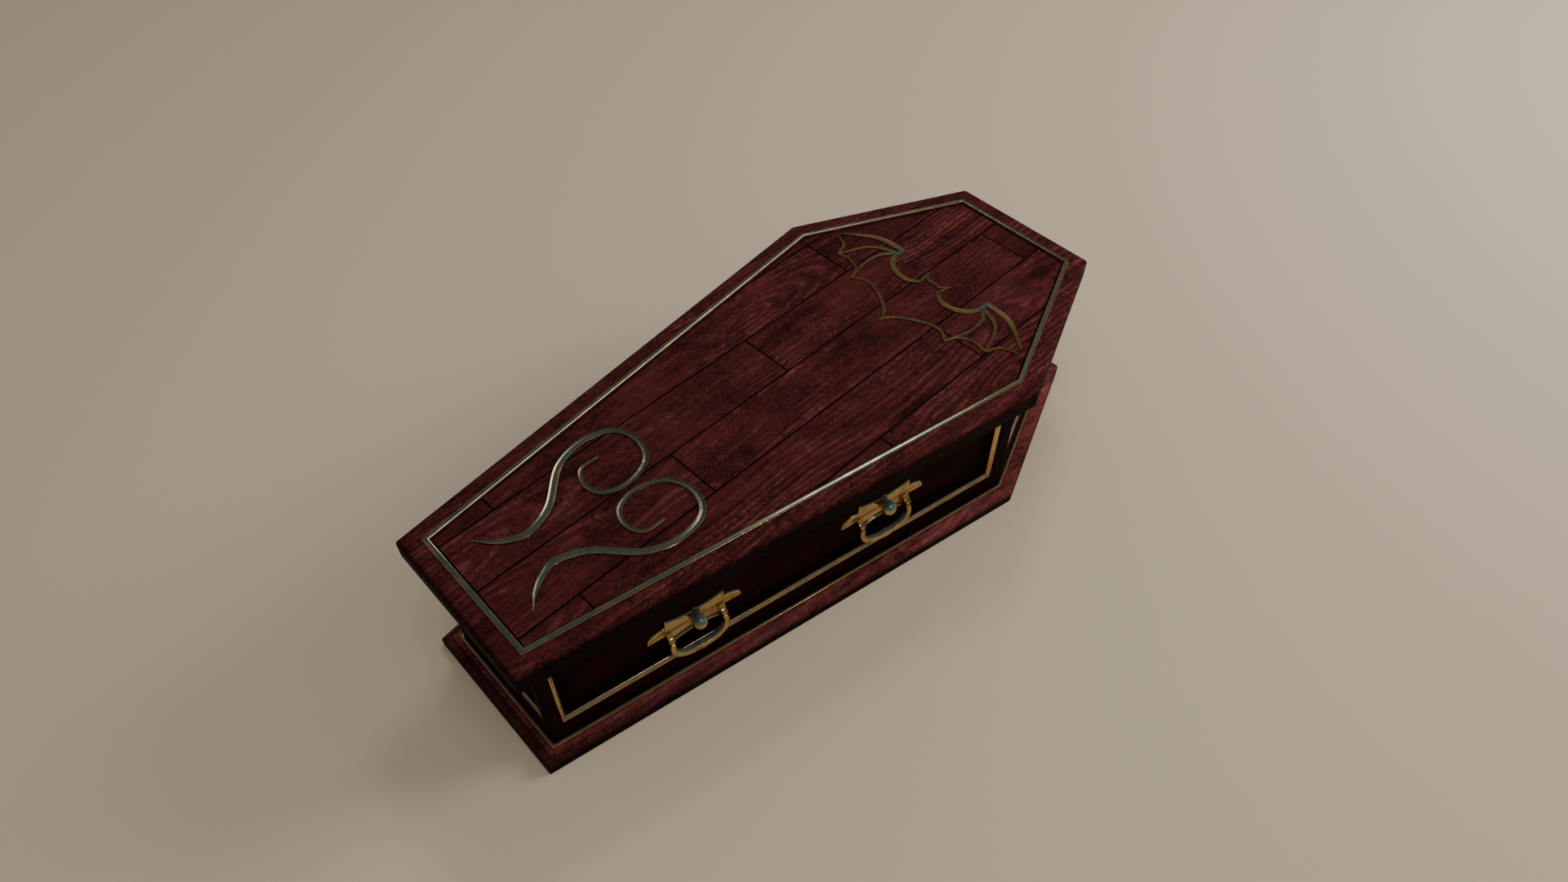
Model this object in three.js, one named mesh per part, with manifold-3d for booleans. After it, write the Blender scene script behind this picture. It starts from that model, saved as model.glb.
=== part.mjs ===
// A six-sided mahogany coffin with a lift-off lid, brass beading and inlays, and four bail handles.
// Millimetres, +Z up, +X towards the head end. The origin is on the floor under the middle of the box.
import * as THREE from 'three';
import { mergeVertices } from 'three/addons/utils/BufferGeometryUtils.js';
import Module from 'manifold-3d';

const wasm = await Module();
wasm.setup();

// Gap between pieces that touch
const GAP = 0.3;

// Plan: the hexagon under the lid's brass bead. Every other outline is a parallel offset of it.
const PLAN_LENGTH = 1950;
const END_HALF_WIDTH = 205;
const SHOULDER_HALF_WIDTH = 426;
const SHOULDER_X = 480;

// Plinth, with a groove along its foot edge
const PLINTH_HEIGHT = 36;
const PLINTH_OFFSET = 57;
const PLINTH_ROUND = 14;
const GROOVE_OFFSET = 35.5;
const GROOVE_WIDTH = 5;
const GROOVE_DEPTH = 4;

// Walls: posts and rails, then a bevel down to a recessed panel
const WALL_OFFSET = 8;
const WALL_THICKNESS = 45;
const POST_WIDTH = 23;
const RAIL_HEIGHT = 49;
const BEVEL_WIDTH = 43;
const PANEL_DEPTH = 27;

// Lid, with a shallow tray on top
const LID_BOTTOM = 423;
const LID_TOP = 484;
const LID_OFFSET = 58.5;
const LID_ROUND = 12;
const EDGE_CHAMFER = 2;
const TRAY_OFFSET = -6;
const TRAY_DEPTH = 14;

// Planks in the tray: rows laid askew, with butt joints that step along from row to row
const PLANK_TOP = 482;
const PLANK_OFFSET = -8.5;
const PLANK_SKEW = THREE.MathUtils.degToRad(1.92);
const PLANK_WIDTH = 170.2;
const PLANK_ROWS = 6;
const FIRST_ROW = -480.8;
const FIRST_JOINT = 47;
const JOINT_STEP = 424;
const PLANK_LENGTH = 3 * JOINT_STEP;
const SEAM = 1.6;

// Brass trim: edges and height of each bead, as offsets from the plan or fractions across the bevel
const LID_BEAD = { from: -5.6, to: 9.8, height: 4.5 };
const PLINTH_BEAD = { from: 8.4, to: 18, height: 5 };
const FRAME_STRIP = { from: 0.3, to: 0.61, height: 4 };
const BEAD_SHOULDER = 0.55;
const BEAD_FLAT = 0.25;
const INLAY_HEIGHT = 4;
const INLAY_FLAT = 0.55;

// Scroll: a tapering tail that sweeps out in an S and turns in on itself in a curl
const SCROLL_POINTS = [
  [-900, 135], [-868, 96], [-825, 67], [-780, 56], [-703, 90], [-612, 178], [-521, 205], [-440, 184],
  [-410, 117], [-435, 46], [-508, 15], [-576, 31], [-599, 81], [-576, 131], [-517, 135],
];
const SCROLL_WIDTHS = { tip: 2, widest: 18, curl: 8 };
const SCROLL_SWELL = 0.22;

// Bat: the strokes of one half, each with its widths at the start, middle and end
const BAT_STROKES = [
  { points: [[379, -4], [422, 26], [464, 96], [472, 147], [449, 185]], widths: [8, 9, 8] },
  { points: [[449, 185], [489, 205], [507, 250], [499, 290]], widths: [8, 9, 8] },
  { points: [[499, 290], [541, 309], [562, 354]], widths: [8, 9, 5] },
  { points: [[653, 160], [653, 205], [640, 266], [580, 352]], widths: [13, 18, 5] },
  { points: [[588, 31], [564, 70], [571, 122], [604, 160], [653, 166]], widths: [9, 17, 13] },
  { points: [[632, 168], [592, 199], [530, 206], [449, 185]], widths: [13, 10, 8] },
  { points: [[634, 168], [611, 227], [574, 260], [499, 290]], widths: [13, 10, 8] },
  { points: [[584, 34], [612, 39], [638, 46]], widths: [9, 10, 4] },
  { points: [[636, 47], [616, 30], [604, 18]], widths: [4, 8, 8] },
  { points: [[605, 22], [611, 10], [606, -4]], widths: [8, 8, 8] },
];

// Handles: places along the long walls, heights of the balls, and sizes of the castings
const HANDLE_REACH = 302;
const FOOT_HANDLE_Z = 224;
const HEAD_HANDLE_Z = 252;
const PLATE_THICKNESS = 7;
const PLATE_CHAMFER = 1.5;
const PLATE_HALF = [
  { to: [9, 21], by: [4, 27] }, { to: [88, 37], by: [50, 21] }, { to: [92, 8] }, { to: [141, -31], by: [131, -3] },
  { to: [92, -31] }, { to: [87, -55] }, { to: [70, -55] }, { to: [0, -42], by: [42, -42] },
];
const PLATE_TOP = 27;
const LIP_START = [66, -54];
const LIP_TOP = -43;
const LIP_RADIUS = 3.5;
const LIP_OUT = 8.5;
const BALL_RADIUS = 22;
const BALL_OUT = 30;
const COLLAR_RADIUS = 17;
const COLLAR_HEIGHT = 3;
const LUG_X = 78.5;
const LUG_WIDTH = 17;
const LUG_RADIUS = 8.5;
const LUG_OUT = 16.5;
const LUG_DROP = 44;
const LUG_ROOT = 4;
const SLOT_WIDTH = 7;
const PIN_RADIUS = 2.4;
const PIN_LENGTH = 14;
const PIN_HOLE_RADIUS = 2.9;
const TONGUE_WIDTH = 6;
const TONGUE_RADIUS = 7;
const TONGUE_LENGTH = 14;
const BAIL_LEAN = THREE.MathUtils.degToRad(10);
const BAIL_HALF_WIDTH = 81;
const BAIL_SHOULDER = 9.6;
const BAIL_BEND_START = 25;
const BAIL_DROP = 71.7;
const BAIL_SQUARE = 0.8;
const BAIL_RADIUS = 8.2;
const BAIL_DEPTH_RADIUS = 9;
const KNUCKLE_GROWTH = 0.22;
const KNUCKLE_LENGTH = 9;

// Fineness of the curves
const EDGE_STEPS = 3;
const SCROLL_STEPS = 48;
const STROKE_STEPS = 5;
const PLATE_STEPS = 4;
const LIP_STEPS = 6;
const BALL_STEPS = 7;
const BAIL_STEPS = 16;
const TUBE_SIDES = 8;
const LATHE_SIDES = 16;
const PIN_SIDES = 8;

const mahogany = new THREE.MeshStandardMaterial({ color: 0x4b2020, roughness: 0.45, metalness: 0 });
const brass = new THREE.MeshStandardMaterial({ color: 0xaa7d3c, roughness: 0.3, metalness: 1 });

const coffin = new THREE.Group();

function addPiece(name, geometry, material, parent = coffin) {
  const mesh = new THREE.Mesh(geometry, material);
  mesh.name = name;
  parent.add(mesh);
  return mesh;
}

function signedVolume(points, index) {
  const normal = new THREE.Vector3();
  let sum = 0;
  for (let i = 0; i < index.length; i += 3) {
    normal.crossVectors(points[index[i + 1]], points[index[i + 2]]);
    sum += points[index[i]].dot(normal) / 6;
  }
  return sum;
}

// A solid through rings of equal count: closed into a loop, or capped at its first and last ring.
function loft(rings, closed = false) {
  const count = rings[0].length;
  const points = rings.flat();
  const index = [];
  const spans = closed ? rings.length : rings.length - 1;
  for (let i = 0; i < spans; i += 1) {
    const here = i * count;
    const next = ((i + 1) % rings.length) * count;
    for (let j = 0; j < count; j += 1) {
      const k = (j + 1) % count;
      index.push(here + j, here + k, next + k);
      index.push(here + j, next + k, next + j);
    }
  }
  if (!closed) {
    const last = (rings.length - 1) * count;
    for (let j = 1; j < count - 1; j += 1) {
      index.push(0, j + 1, j);
      index.push(last, last + j, last + j + 1);
    }
  }
  const geometry = new THREE.BufferGeometry().setFromPoints(points);
  geometry.setIndex(signedVolume(points, index) < 0 ? index.reverse() : index);
  return geometry;
}

function toSolid(geometry) {
  const bare = geometry.clone();
  bare.deleteAttribute('normal');
  bare.deleteAttribute('uv');
  const merged = mergeVertices(bare);
  return new wasm.Manifold(new wasm.Mesh({
    numProp: 3,
    vertProperties: new Float32Array(merged.attributes.position.array),
    triVerts: new Uint32Array(merged.index.array),
  }));
}

function toGeometry(solid) {
  const mesh = solid.getMesh();
  const geometry = new THREE.BufferGeometry();
  geometry.setAttribute('position', new THREE.Float32BufferAttribute(mesh.vertProperties, 3));
  geometry.setIndex(Array.from(mesh.triVerts));
  return geometry;
}

function join(geometries) {
  return toGeometry(geometries.map(toSolid).reduce((whole, solid) => whole.add(solid)));
}

function outwardNormal(from, to) {
  const along = to.clone().sub(from).normalize();
  return new THREE.Vector2(along.y, -along.x);
}

// Corners of the plan at an offset, anticlockwise from the left foot corner.
function planCorners(offset) {
  const end = PLAN_LENGTH / 2;
  const half = [[-end, END_HALF_WIDTH], [SHOULDER_X, SHOULDER_HALF_WIDTH], [end, END_HALF_WIDTH]];
  const left = half.map(([x, y]) => new THREE.Vector2(x, -y));
  const right = half.map(([x, y]) => new THREE.Vector2(x, y)).reverse();
  const corners = [...left, ...right];
  return corners.map((corner, i) => {
    const before = outwardNormal(corners.at(i - 1), corner);
    const after = outwardNormal(corner, corners[(i + 1) % corners.length]);
    const mitre = before.clone().add(after).multiplyScalar(offset / (1 + before.dot(after)));
    return mitre.add(corner);
  });
}

function planRing(offset, z) {
  return planCorners(offset).map((corner) => new THREE.Vector3(corner.x, corner.y, z));
}

// Rings of a rounded upper edge: a quarter circle from the upright side to the flat top.
function roundedEdge(offset, top, radius) {
  return Array.from({ length: EDGE_STEPS + 1 }, (_, i) => {
    const turn = (Math.PI / 2) * (i / EDGE_STEPS);
    return planRing(offset - radius * (1 - Math.cos(turn)), top - radius * (1 - Math.sin(turn)));
  });
}

// Section of a bead as pairs of place and rise: upright edges, sloped shoulders and a flat top.
function beadSection({ from, to, height }, base) {
  const middle = (from + to) / 2;
  const flat = BEAD_FLAT * (to - from);
  return [
    [from, base], [to, base], [to, BEAD_SHOULDER * height],
    [middle + flat, height], [middle - flat, height], [from, BEAD_SHOULDER * height],
  ];
}

// Joins lines that run round the same corners into a closed bead, mitred at each corner.
function mitredBead(lines) {
  return loft(lines[0].map((_, corner) => lines.map((line) => line[corner])), true);
}

function planBead(bead, z) {
  return mitredBead(beadSection(bead, 0).map(([offset, rise]) => planRing(offset, z + GAP + rise)));
}

function makePlinth() {
  const board = loft([
    planRing(PLINTH_OFFSET - EDGE_CHAMFER, 0),
    planRing(PLINTH_OFFSET, EDGE_CHAMFER),
    ...roundedEdge(PLINTH_OFFSET, PLINTH_HEIGHT, PLINTH_ROUND),
  ]);
  const groove = new THREE.BoxGeometry(GROOVE_WIDTH, 2 * (END_HALF_WIDTH + GROOVE_OFFSET), 2 * GROOVE_DEPTH);
  groove.translate(-PLAN_LENGTH / 2 - GROOVE_OFFSET, 0, PLINTH_HEIGHT);
  addPiece('plinth', toGeometry(toSolid(board).subtract(toSolid(groove))), mahogany);
  addPiece('plinth_bead', planBead(PLINTH_BEAD, PLINTH_HEIGHT), brass);
}

// Where a wall's ends lie along it, at a depth behind its outer face, measured from its middle.
function wallEnds(side, depth) {
  const face = planCorners(WALL_OFFSET);
  const behind = planCorners(WALL_OFFSET - depth);
  const next = (side + 1) % face.length;
  const middle = face[side].clone().add(face[next]).divideScalar(2);
  const along = face[next].clone().sub(face[side]).normalize();
  return [behind[side], behind[next]].map((corner) => corner.sub(middle).dot(along));
}

// A rectangle on a wall, drawn in from its edges: x along the wall, y into it, z up.
function wallRing([start, end], inset, railInset, depth) {
  const low = new THREE.Vector2(start + GAP + inset, PLINTH_HEIGHT + GAP + railInset);
  const high = new THREE.Vector2(end - GAP - inset, LID_BOTTOM - GAP - railInset);
  const corners = [[low.x, low.y], [high.x, low.y], [high.x, high.y], [low.x, high.y]];
  return corners.map(([x, z]) => new THREE.Vector3(x, depth, z));
}

function frameStrip(ends) {
  const slope = Math.hypot(BEVEL_WIDTH, PANEL_DEPTH);
  return mitredBead(beadSection(FRAME_STRIP, GAP).map(([across, rise]) => {
    const inset = across * BEVEL_WIDTH + (rise * PANEL_DEPTH) / slope;
    const depth = across * PANEL_DEPTH - (rise * BEVEL_WIDTH) / slope;
    return wallRing(ends, POST_WIDTH + inset, RAIL_HEIGHT + inset, depth);
  }));
}

// One wall board and its brass frame, in a group that later pieces on the same wall can share.
function makeWall(name, side) {
  const face = planCorners(WALL_OFFSET);
  const from = face[side];
  const to = face[(side + 1) % face.length];
  const wall = new THREE.Group();
  wall.position.set((from.x + to.x) / 2, (from.y + to.y) / 2, 0);
  wall.rotation.z = Math.atan2(to.y - from.y, to.x - from.x);
  coffin.add(wall);

  const ends = wallEnds(side, 0);
  const board = loft([
    wallRing(wallEnds(side, WALL_THICKNESS), 0, 0, WALL_THICKNESS),
    wallRing(ends, 0, 0, 0),
    wallRing(ends, POST_WIDTH, RAIL_HEIGHT, 0),
    wallRing(ends, POST_WIDTH + BEVEL_WIDTH, RAIL_HEIGHT + BEVEL_WIDTH, PANEL_DEPTH),
  ]);
  addPiece(`wall_${name}`, board, mahogany, wall);
  addPiece(`frame_${name}`, frameStrip(ends), brass, wall);
  return wall;
}

function makeLid() {
  const board = loft([
    planRing(LID_OFFSET - EDGE_CHAMFER, LID_BOTTOM),
    planRing(LID_OFFSET, LID_BOTTOM + EDGE_CHAMFER),
    ...roundedEdge(LID_OFFSET, LID_TOP, LID_ROUND),
    planRing(TRAY_OFFSET, LID_TOP),
    planRing(TRAY_OFFSET, LID_TOP - TRAY_DEPTH),
  ]);
  addPiece('lid_board', board, mahogany);
  addPiece('lid_bead', planBead(LID_BEAD, LID_TOP), brass);
}

// Keeps the part of a convex outline that lies between two distances along a direction.
function clipBand(outline, direction, low, high) {
  const above = clipBelow(outline, direction, high);
  return clipBelow(above, direction.clone().negate(), -low);
}

function clipBelow(outline, direction, limit) {
  const kept = [];
  outline.forEach((point, i) => {
    const next = outline[(i + 1) % outline.length];
    const here = direction.dot(point) - limit;
    const there = direction.dot(next) - limit;
    if (here <= 0) kept.push(point);
    if (here * there < 0) kept.push(point.clone().lerp(next, here / (here - there)));
  });
  return kept;
}

function makePlanks() {
  const along = new THREE.Vector2(Math.cos(PLANK_SKEW), Math.sin(PLANK_SKEW));
  const across = new THREE.Vector2(-along.y, along.x);
  const bed = LID_TOP - TRAY_DEPTH + GAP;
  let number = 0;
  for (let row = 0; row < PLANK_ROWS; row += 1) {
    const edge = FIRST_ROW + row * PLANK_WIDTH;
    const strip = clipBand(planCorners(PLANK_OFFSET), across, edge + SEAM / 2, edge + PLANK_WIDTH - SEAM / 2);
    for (let run = -2; run < 1; run += 1) {
      const joint = FIRST_JOINT + (row % 3) * JOINT_STEP + run * PLANK_LENGTH;
      const plank = clipBand(strip, along, joint + SEAM / 2, joint + PLANK_LENGTH - SEAM / 2);
      if (plank.length < 3) continue;
      number += 1;
      const options = { depth: PLANK_TOP - bed, bevelEnabled: false };
      const geometry = new THREE.ExtrudeGeometry(new THREE.Shape(plank), options);
      addPiece(`lid_plank_${String(number).padStart(2, '0')}`, geometry.translate(0, 0, bed), mahogany);
    }
  }
}

// A low ridge laid on the planks along a curve, with a width for each run from 0 to 1.
function ridge(points, mirror, steps, widthAt) {
  const curve = new THREE.SplineCurve(points.map(([x, y]) => new THREE.Vector2(x, mirror * y)));
  const base = PLANK_TOP + GAP;
  const rings = Array.from({ length: steps + 1 }, (_, i) => {
    const point = curve.getPoint(i / steps);
    const along = curve.getTangent(i / steps);
    const half = widthAt(i / steps) / 2;
    const rise = Math.min(INLAY_HEIGHT, half);
    const section = [[-half, 0], [half, 0], [INLAY_FLAT * half, rise], [-INLAY_FLAT * half, rise]];
    return section.map(([out, up]) => (
      new THREE.Vector3(point.x - out * along.y, point.y + out * along.x, base + up)
    ));
  });
  return loft(rings);
}

function scrollWidth(run) {
  const { tip, widest, curl } = SCROLL_WIDTHS;
  if (run < SCROLL_SWELL) {
    return THREE.MathUtils.lerp(tip, widest, Math.sin((Math.PI / 2) * (run / SCROLL_SWELL)));
  }
  const rest = (run - SCROLL_SWELL) / (1 - SCROLL_SWELL);
  return THREE.MathUtils.lerp(widest, curl, rest * rest);
}

function strokeWidth([start, middle, end]) {
  const bow = middle - (start + end) / 2;
  return (run) => THREE.MathUtils.lerp(start, end, run) + 4 * run * (1 - run) * bow;
}

function makeInlays() {
  addPiece('scroll_left', ridge(SCROLL_POINTS, -1, SCROLL_STEPS, scrollWidth), brass);
  addPiece('scroll_right', ridge(SCROLL_POINTS, 1, SCROLL_STEPS, scrollWidth), brass);
  const strokes = [-1, 1].flatMap((mirror) => BAT_STROKES.map(({ points, widths }) => (
    ridge(points, mirror, STROKE_STEPS, strokeWidth(widths))
  )));
  addPiece('bat', join(strokes), brass);
}

// Back plate's outline from the front: the right half drawn downwards, then its mirror image upwards.
function plateShape() {
  const shape = new THREE.Shape();
  shape.moveTo(0, PLATE_TOP);
  PLATE_HALF.forEach(({ to, by }) => {
    if (by) shape.quadraticCurveTo(...by, ...to);
    else shape.lineTo(...to);
  });
  [...PLATE_HALF].reverse().forEach(({ by }, i, back) => {
    const [x, z] = i + 1 < back.length ? back[i + 1].to : [0, PLATE_TOP];
    if (by) shape.quadraticCurveTo(-by[0], by[1], -x, z);
    else shape.lineTo(-x, z);
  });
  return shape;
}

// A round bar that stays in an upright plane, through stations of place, direction and two radii.
function uprightBar(stations) {
  return loft(stations.map(({ point, along, radius, depthRadius }) => (
    Array.from({ length: TUBE_SIDES }, (_, i) => {
      const turn = (2 * Math.PI * (i + 0.5)) / TUBE_SIDES;
      const out = radius * Math.cos(turn);
      return new THREE.Vector3(point.x - out * along.y, depthRadius * Math.sin(turn), point.y + out * along.x);
    })
  )));
}

// Extrudes a profile drawn in (outwards, up) along the wall, centred at x.
function acrossWall(profile, x, width) {
  const geometry = new THREE.ExtrudeGeometry(profile, { depth: width, bevelEnabled: false, curveSegments: 5 });
  const turned = new THREE.Matrix4().makeBasis(
    new THREE.Vector3(0, -1, 0),
    new THREE.Vector3(0, 0, 1),
    new THREE.Vector3(-1, 0, 0),
  );
  return geometry.applyMatrix4(turned).translate(x + width / 2, 0, 0);
}

// One cheek of a forked lug: a block with a round nose and a hole for the pin.
function lugCheek(x) {
  const profile = new THREE.Shape();
  profile.moveTo(LUG_ROOT, -LUG_RADIUS);
  profile.absarc(LUG_OUT, 0, LUG_RADIUS, -Math.PI / 2, Math.PI / 2, false);
  profile.lineTo(LUG_ROOT, LUG_RADIUS);
  profile.holes.push(new THREE.Path().absarc(LUG_OUT, 0, PIN_HOLE_RADIUS, 0, 2 * Math.PI, true));
  return acrossWall(profile, x, (LUG_WIDTH - SLOT_WIDTH) / 2).translate(0, 0, -LUG_DROP);
}

function archLip() {
  const [x, z] = LIP_START;
  const arch = new THREE.QuadraticBezierCurve(
    new THREE.Vector2(-x, z),
    new THREE.Vector2(0, 2 * LIP_TOP - z),
    new THREE.Vector2(x, z),
  );
  const stations = Array.from({ length: LIP_STEPS + 1 }, (_, i) => ({
    point: arch.getPoint(i / LIP_STEPS),
    along: arch.getTangent(i / LIP_STEPS),
    radius: LIP_RADIUS,
    depthRadius: LIP_RADIUS,
  }));
  return uprightBar(stations).translate(0, -LIP_OUT, 0);
}

function makePlate() {
  const plate = new THREE.ExtrudeGeometry(plateShape(), {
    depth: PLATE_THICKNESS - 2 * PLATE_CHAMFER,
    bevelThickness: PLATE_CHAMFER,
    bevelSize: PLATE_CHAMFER,
    bevelOffset: -PLATE_CHAMFER,
    bevelSegments: 1,
    curveSegments: PLATE_STEPS,
  });
  plate.rotateX(Math.PI / 2).translate(0, -GAP - PLATE_CHAMFER, 0);
  const cheek = (LUG_WIDTH + SLOT_WIDTH) / 4;
  const cheeks = [-LUG_X, LUG_X].flatMap((x) => [lugCheek(x - cheek), lugCheek(x + cheek)]);
  return join([plate, archLip(), ...cheeks]);
}

function makeBoss() {
  const base = PLATE_THICKNESS + 2 * GAP;
  const collar = base + COLLAR_HEIGHT;
  const start = Math.asin((collar - BALL_OUT) / BALL_RADIUS) + 0.1;
  const profile = [[0, base], [COLLAR_RADIUS, base], [COLLAR_RADIUS, collar]];
  for (let i = 0; i < BALL_STEPS; i += 1) {
    const turn = THREE.MathUtils.lerp(start, Math.PI / 2, i / BALL_STEPS);
    profile.push([BALL_RADIUS * Math.cos(turn), BALL_OUT + BALL_RADIUS * Math.sin(turn)]);
  }
  profile.push([0, BALL_OUT + BALL_RADIUS]);
  const points = profile.map(([radius, out]) => new THREE.Vector2(radius, out));
  return new THREE.LatheGeometry(points, LATHE_SIDES).rotateX(Math.PI);
}

// The swinging bail, hanging straight down from its pins, which lie along x through the origin.
function makeBail() {
  const turns = Array.from({ length: BAIL_STEPS + 1 }, (_, i) => Math.PI * (i / BAIL_STEPS));
  const path = turns.map((turn) => new THREE.Vector2(
    -BAIL_HALF_WIDTH * Math.sign(Math.cos(turn)) * Math.abs(Math.cos(turn)) ** BAIL_SQUARE,
    -BAIL_BEND_START - (BAIL_DROP - BAIL_BEND_START) * Math.sin(turn) ** BAIL_SQUARE,
  ));
  const first = new THREE.Vector2(-LUG_X, -BAIL_SHOULDER);
  const last = new THREE.Vector2(LUG_X, -BAIL_SHOULDER);
  const points = [first, ...path, last];
  const stations = points.map((point, i) => {
    const before = points[Math.max(i - 1, 0)];
    const after = points[Math.min(i + 1, points.length - 1)];
    const level = point === first || point === last;
    const along = level ? new THREE.Vector2(0, Math.sign(point.x)) : after.clone().sub(before).normalize();
    const swell = 1 + KNUCKLE_GROWTH * Math.exp(-((point.x / KNUCKLE_LENGTH) ** 2));
    return { point, along, radius: BAIL_RADIUS * swell, depthRadius: BAIL_DEPTH_RADIUS };
  });

  const tongue = new THREE.Shape();
  tongue.absarc(0, 0, TONGUE_RADIUS, 0, Math.PI, false);
  tongue.lineTo(-TONGUE_RADIUS, -TONGUE_LENGTH);
  tongue.lineTo(TONGUE_RADIUS, -TONGUE_LENGTH);
  const ends = [-LUG_X, LUG_X].flatMap((x) => [
    acrossWall(tongue, x, TONGUE_WIDTH),
    new THREE.CylinderGeometry(PIN_RADIUS, PIN_RADIUS, PIN_LENGTH, PIN_SIDES).rotateZ(Math.PI / 2).translate(x, 0, 0),
  ]);
  return join([uprightBar(stations), ...ends]);
}

const plateGeometry = makePlate();
const bossGeometry = makeBoss();
const bailGeometry = makeBail();

function makeHandle(name, wall, x, z) {
  const handle = new THREE.Group();
  handle.position.set(x, PANEL_DEPTH, z);
  wall.add(handle);
  addPiece(`plate_${name}`, plateGeometry, brass, handle);
  addPiece(`ball_${name}`, bossGeometry, brass, handle);
  const bail = addPiece(`bail_${name}`, bailGeometry, brass, handle);
  bail.position.set(0, -LUG_OUT, -LUG_DROP);
  bail.rotation.x = -BAIL_LEAN;
}

makePlinth();
const leftSide = makeWall('left_side', 0);
makeWall('left_shoulder', 1);
makeWall('head', 2);
makeWall('right_shoulder', 3);
const rightSide = makeWall('right_side', 4);
makeWall('foot', 5);
makeLid();
makePlanks();
makeInlays();
makeHandle('left_foot', leftSide, -HANDLE_REACH, FOOT_HANDLE_Z);
makeHandle('left_head', leftSide, HANDLE_REACH, HEAD_HANDLE_Z);
makeHandle('right_foot', rightSide, HANDLE_REACH, FOOT_HANDLE_Z);
makeHandle('right_head', rightSide, -HANDLE_REACH, HEAD_HANDLE_Z);

export default coffin;
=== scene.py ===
"""Looks for the coffin: mahogany boards, brass trim and bail handles, in metres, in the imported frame."""
import math

import bmesh
import bpy
import numpy as np
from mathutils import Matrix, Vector


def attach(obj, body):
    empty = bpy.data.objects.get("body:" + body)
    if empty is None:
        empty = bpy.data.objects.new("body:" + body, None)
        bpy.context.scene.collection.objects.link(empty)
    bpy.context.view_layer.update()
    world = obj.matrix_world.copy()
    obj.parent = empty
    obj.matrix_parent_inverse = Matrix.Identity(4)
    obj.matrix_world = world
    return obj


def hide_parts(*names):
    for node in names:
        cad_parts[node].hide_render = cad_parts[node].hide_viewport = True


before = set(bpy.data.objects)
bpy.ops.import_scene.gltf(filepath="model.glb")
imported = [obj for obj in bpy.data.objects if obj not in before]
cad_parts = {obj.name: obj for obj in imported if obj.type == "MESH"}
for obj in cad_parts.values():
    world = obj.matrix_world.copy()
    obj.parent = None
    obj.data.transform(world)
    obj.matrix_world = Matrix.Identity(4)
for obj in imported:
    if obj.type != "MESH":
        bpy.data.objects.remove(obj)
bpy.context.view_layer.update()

# Plan hexagon under the lid bead; other outlines are parallel offsets of it
END_X = 0.975
END_HALF_WIDTH = 0.205
SHOULDER_X = 0.480
SHOULDER_HALF_WIDTH = 0.426
GAP = 0.0003
CORNER_STEPS = 4
ROUND_STEPS = 6

# Plinth
PLINTH_TOP = 0.036
PLINTH_OFFSET = 0.057
PLINTH_ROUND = 0.014
PLINTH_CORNER = 0.004
PLINTH_CHAMFER = 0.002
GROOVE_OFFSET = 0.0355
GROOVE_WIDTH = 0.005
GROOVE_DEPTH = 0.004
GROOVE_ENDS = (0.02, 0.026, 0.974, 0.98)
PLINTH_MARGIN = 0.006

# Walls
WALL_OFFSET = 0.008
WALL_THICKNESS = 0.045
WALL_ARRIS = 0.001
POST = 0.023
RAIL = 0.049
BEVEL = 0.043
BEVEL_EASE = 0.002
PANEL_DEPTH = 0.027
PANEL_MARGIN = 0.040
WALL_NAMES = ("left_side", "left_shoulder", "head", "right_shoulder", "right_side", "foot")

# Lid and planks
LID_BOTTOM = 0.423
LID_TOP = 0.484
LID_OFFSET = 0.0585
LID_ROUND = 0.012
LID_EASE = 0.003
LID_CORNER = 0.006
TRAY_OFFSET = -0.006
TRAY_FLOOR = 0.470
TRAY_CORNER = 0.0005
TRAY_ARRIS = 0.001
PLANK_TOP = 0.482
PLANK_OFFSET = -0.0085
PLANK_SKEW = math.radians(1.92)
PLANK_WIDTH = 0.1702
FIRST_ROW = -0.4808
FIRST_JOINT = 0.047
JOINT_STEP = 0.424
PLANK_ROWS = 6
SEAM = 0.0016
ARRIS = 0.0012

# Brass trim: beads and strips as start, end and height, in offsets of the plan or shares of the bevel
LID_BEAD = (-0.0056, 0.0098, 0.0045)
PLINTH_BEAD = (0.0084, 0.018, 0.005)
FRAME_STRIP = (0.3, 0.61, 0.004)
# Share of each shoulder, from the head, over which the beads' painted shade along the head fades out
SHADED_HEAD_REACH = 0.03
INLAY_HEIGHT = 0.004

# Inlays, in millimetres: a scroll's line and its widths at tail, belly and curl; the bat's strokes, each
# with its widths at start, middle and end
SCROLL_POINTS = (
    (-900, 135), (-868, 96), (-825, 67), (-780, 56), (-703, 90), (-612, 178), (-521, 205), (-440, 184),
    (-410, 117), (-435, 46), (-508, 15), (-576, 31), (-599, 81), (-576, 131), (-517, 135),
)
SCROLL_WIDTHS = (2, 21, 10)
SCROLL_BELLY = 0.22
SCROLL_STEPS = 200
BAT_STROKES = (
    (((379, -4), (422, 26), (464, 96), (472, 147), (449, 185)), (8, 9, 8)),
    (((449, 185), (489, 205), (507, 250), (499, 290)), (8, 9, 8)),
    (((499, 290), (541, 309), (562, 354)), (8, 9, 5)),
    (((653, 160), (653, 205), (640, 266), (580, 352)), (13, 18, 5)),
    (((588, 31), (564, 70), (571, 122), (604, 160), (653, 166)), (9, 17, 13)),
    (((632, 168), (592, 199), (530, 206), (449, 185)), (13, 10, 8)),
    (((634, 168), (611, 227), (574, 260), (499, 290)), (13, 10, 8)),
    (((584, 34), (612, 39), (638, 46)), (9, 10, 4)),
    (((636, 47), (616, 30), (604, 18)), (4, 8, 8)),
    (((605, 22), (611, 10), (606, -4)), (8, 8, 8)),
)
BAT_STEPS = 30
WRIST = (0.638, 0.166)
WRIST_REACH = 0.03

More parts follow.
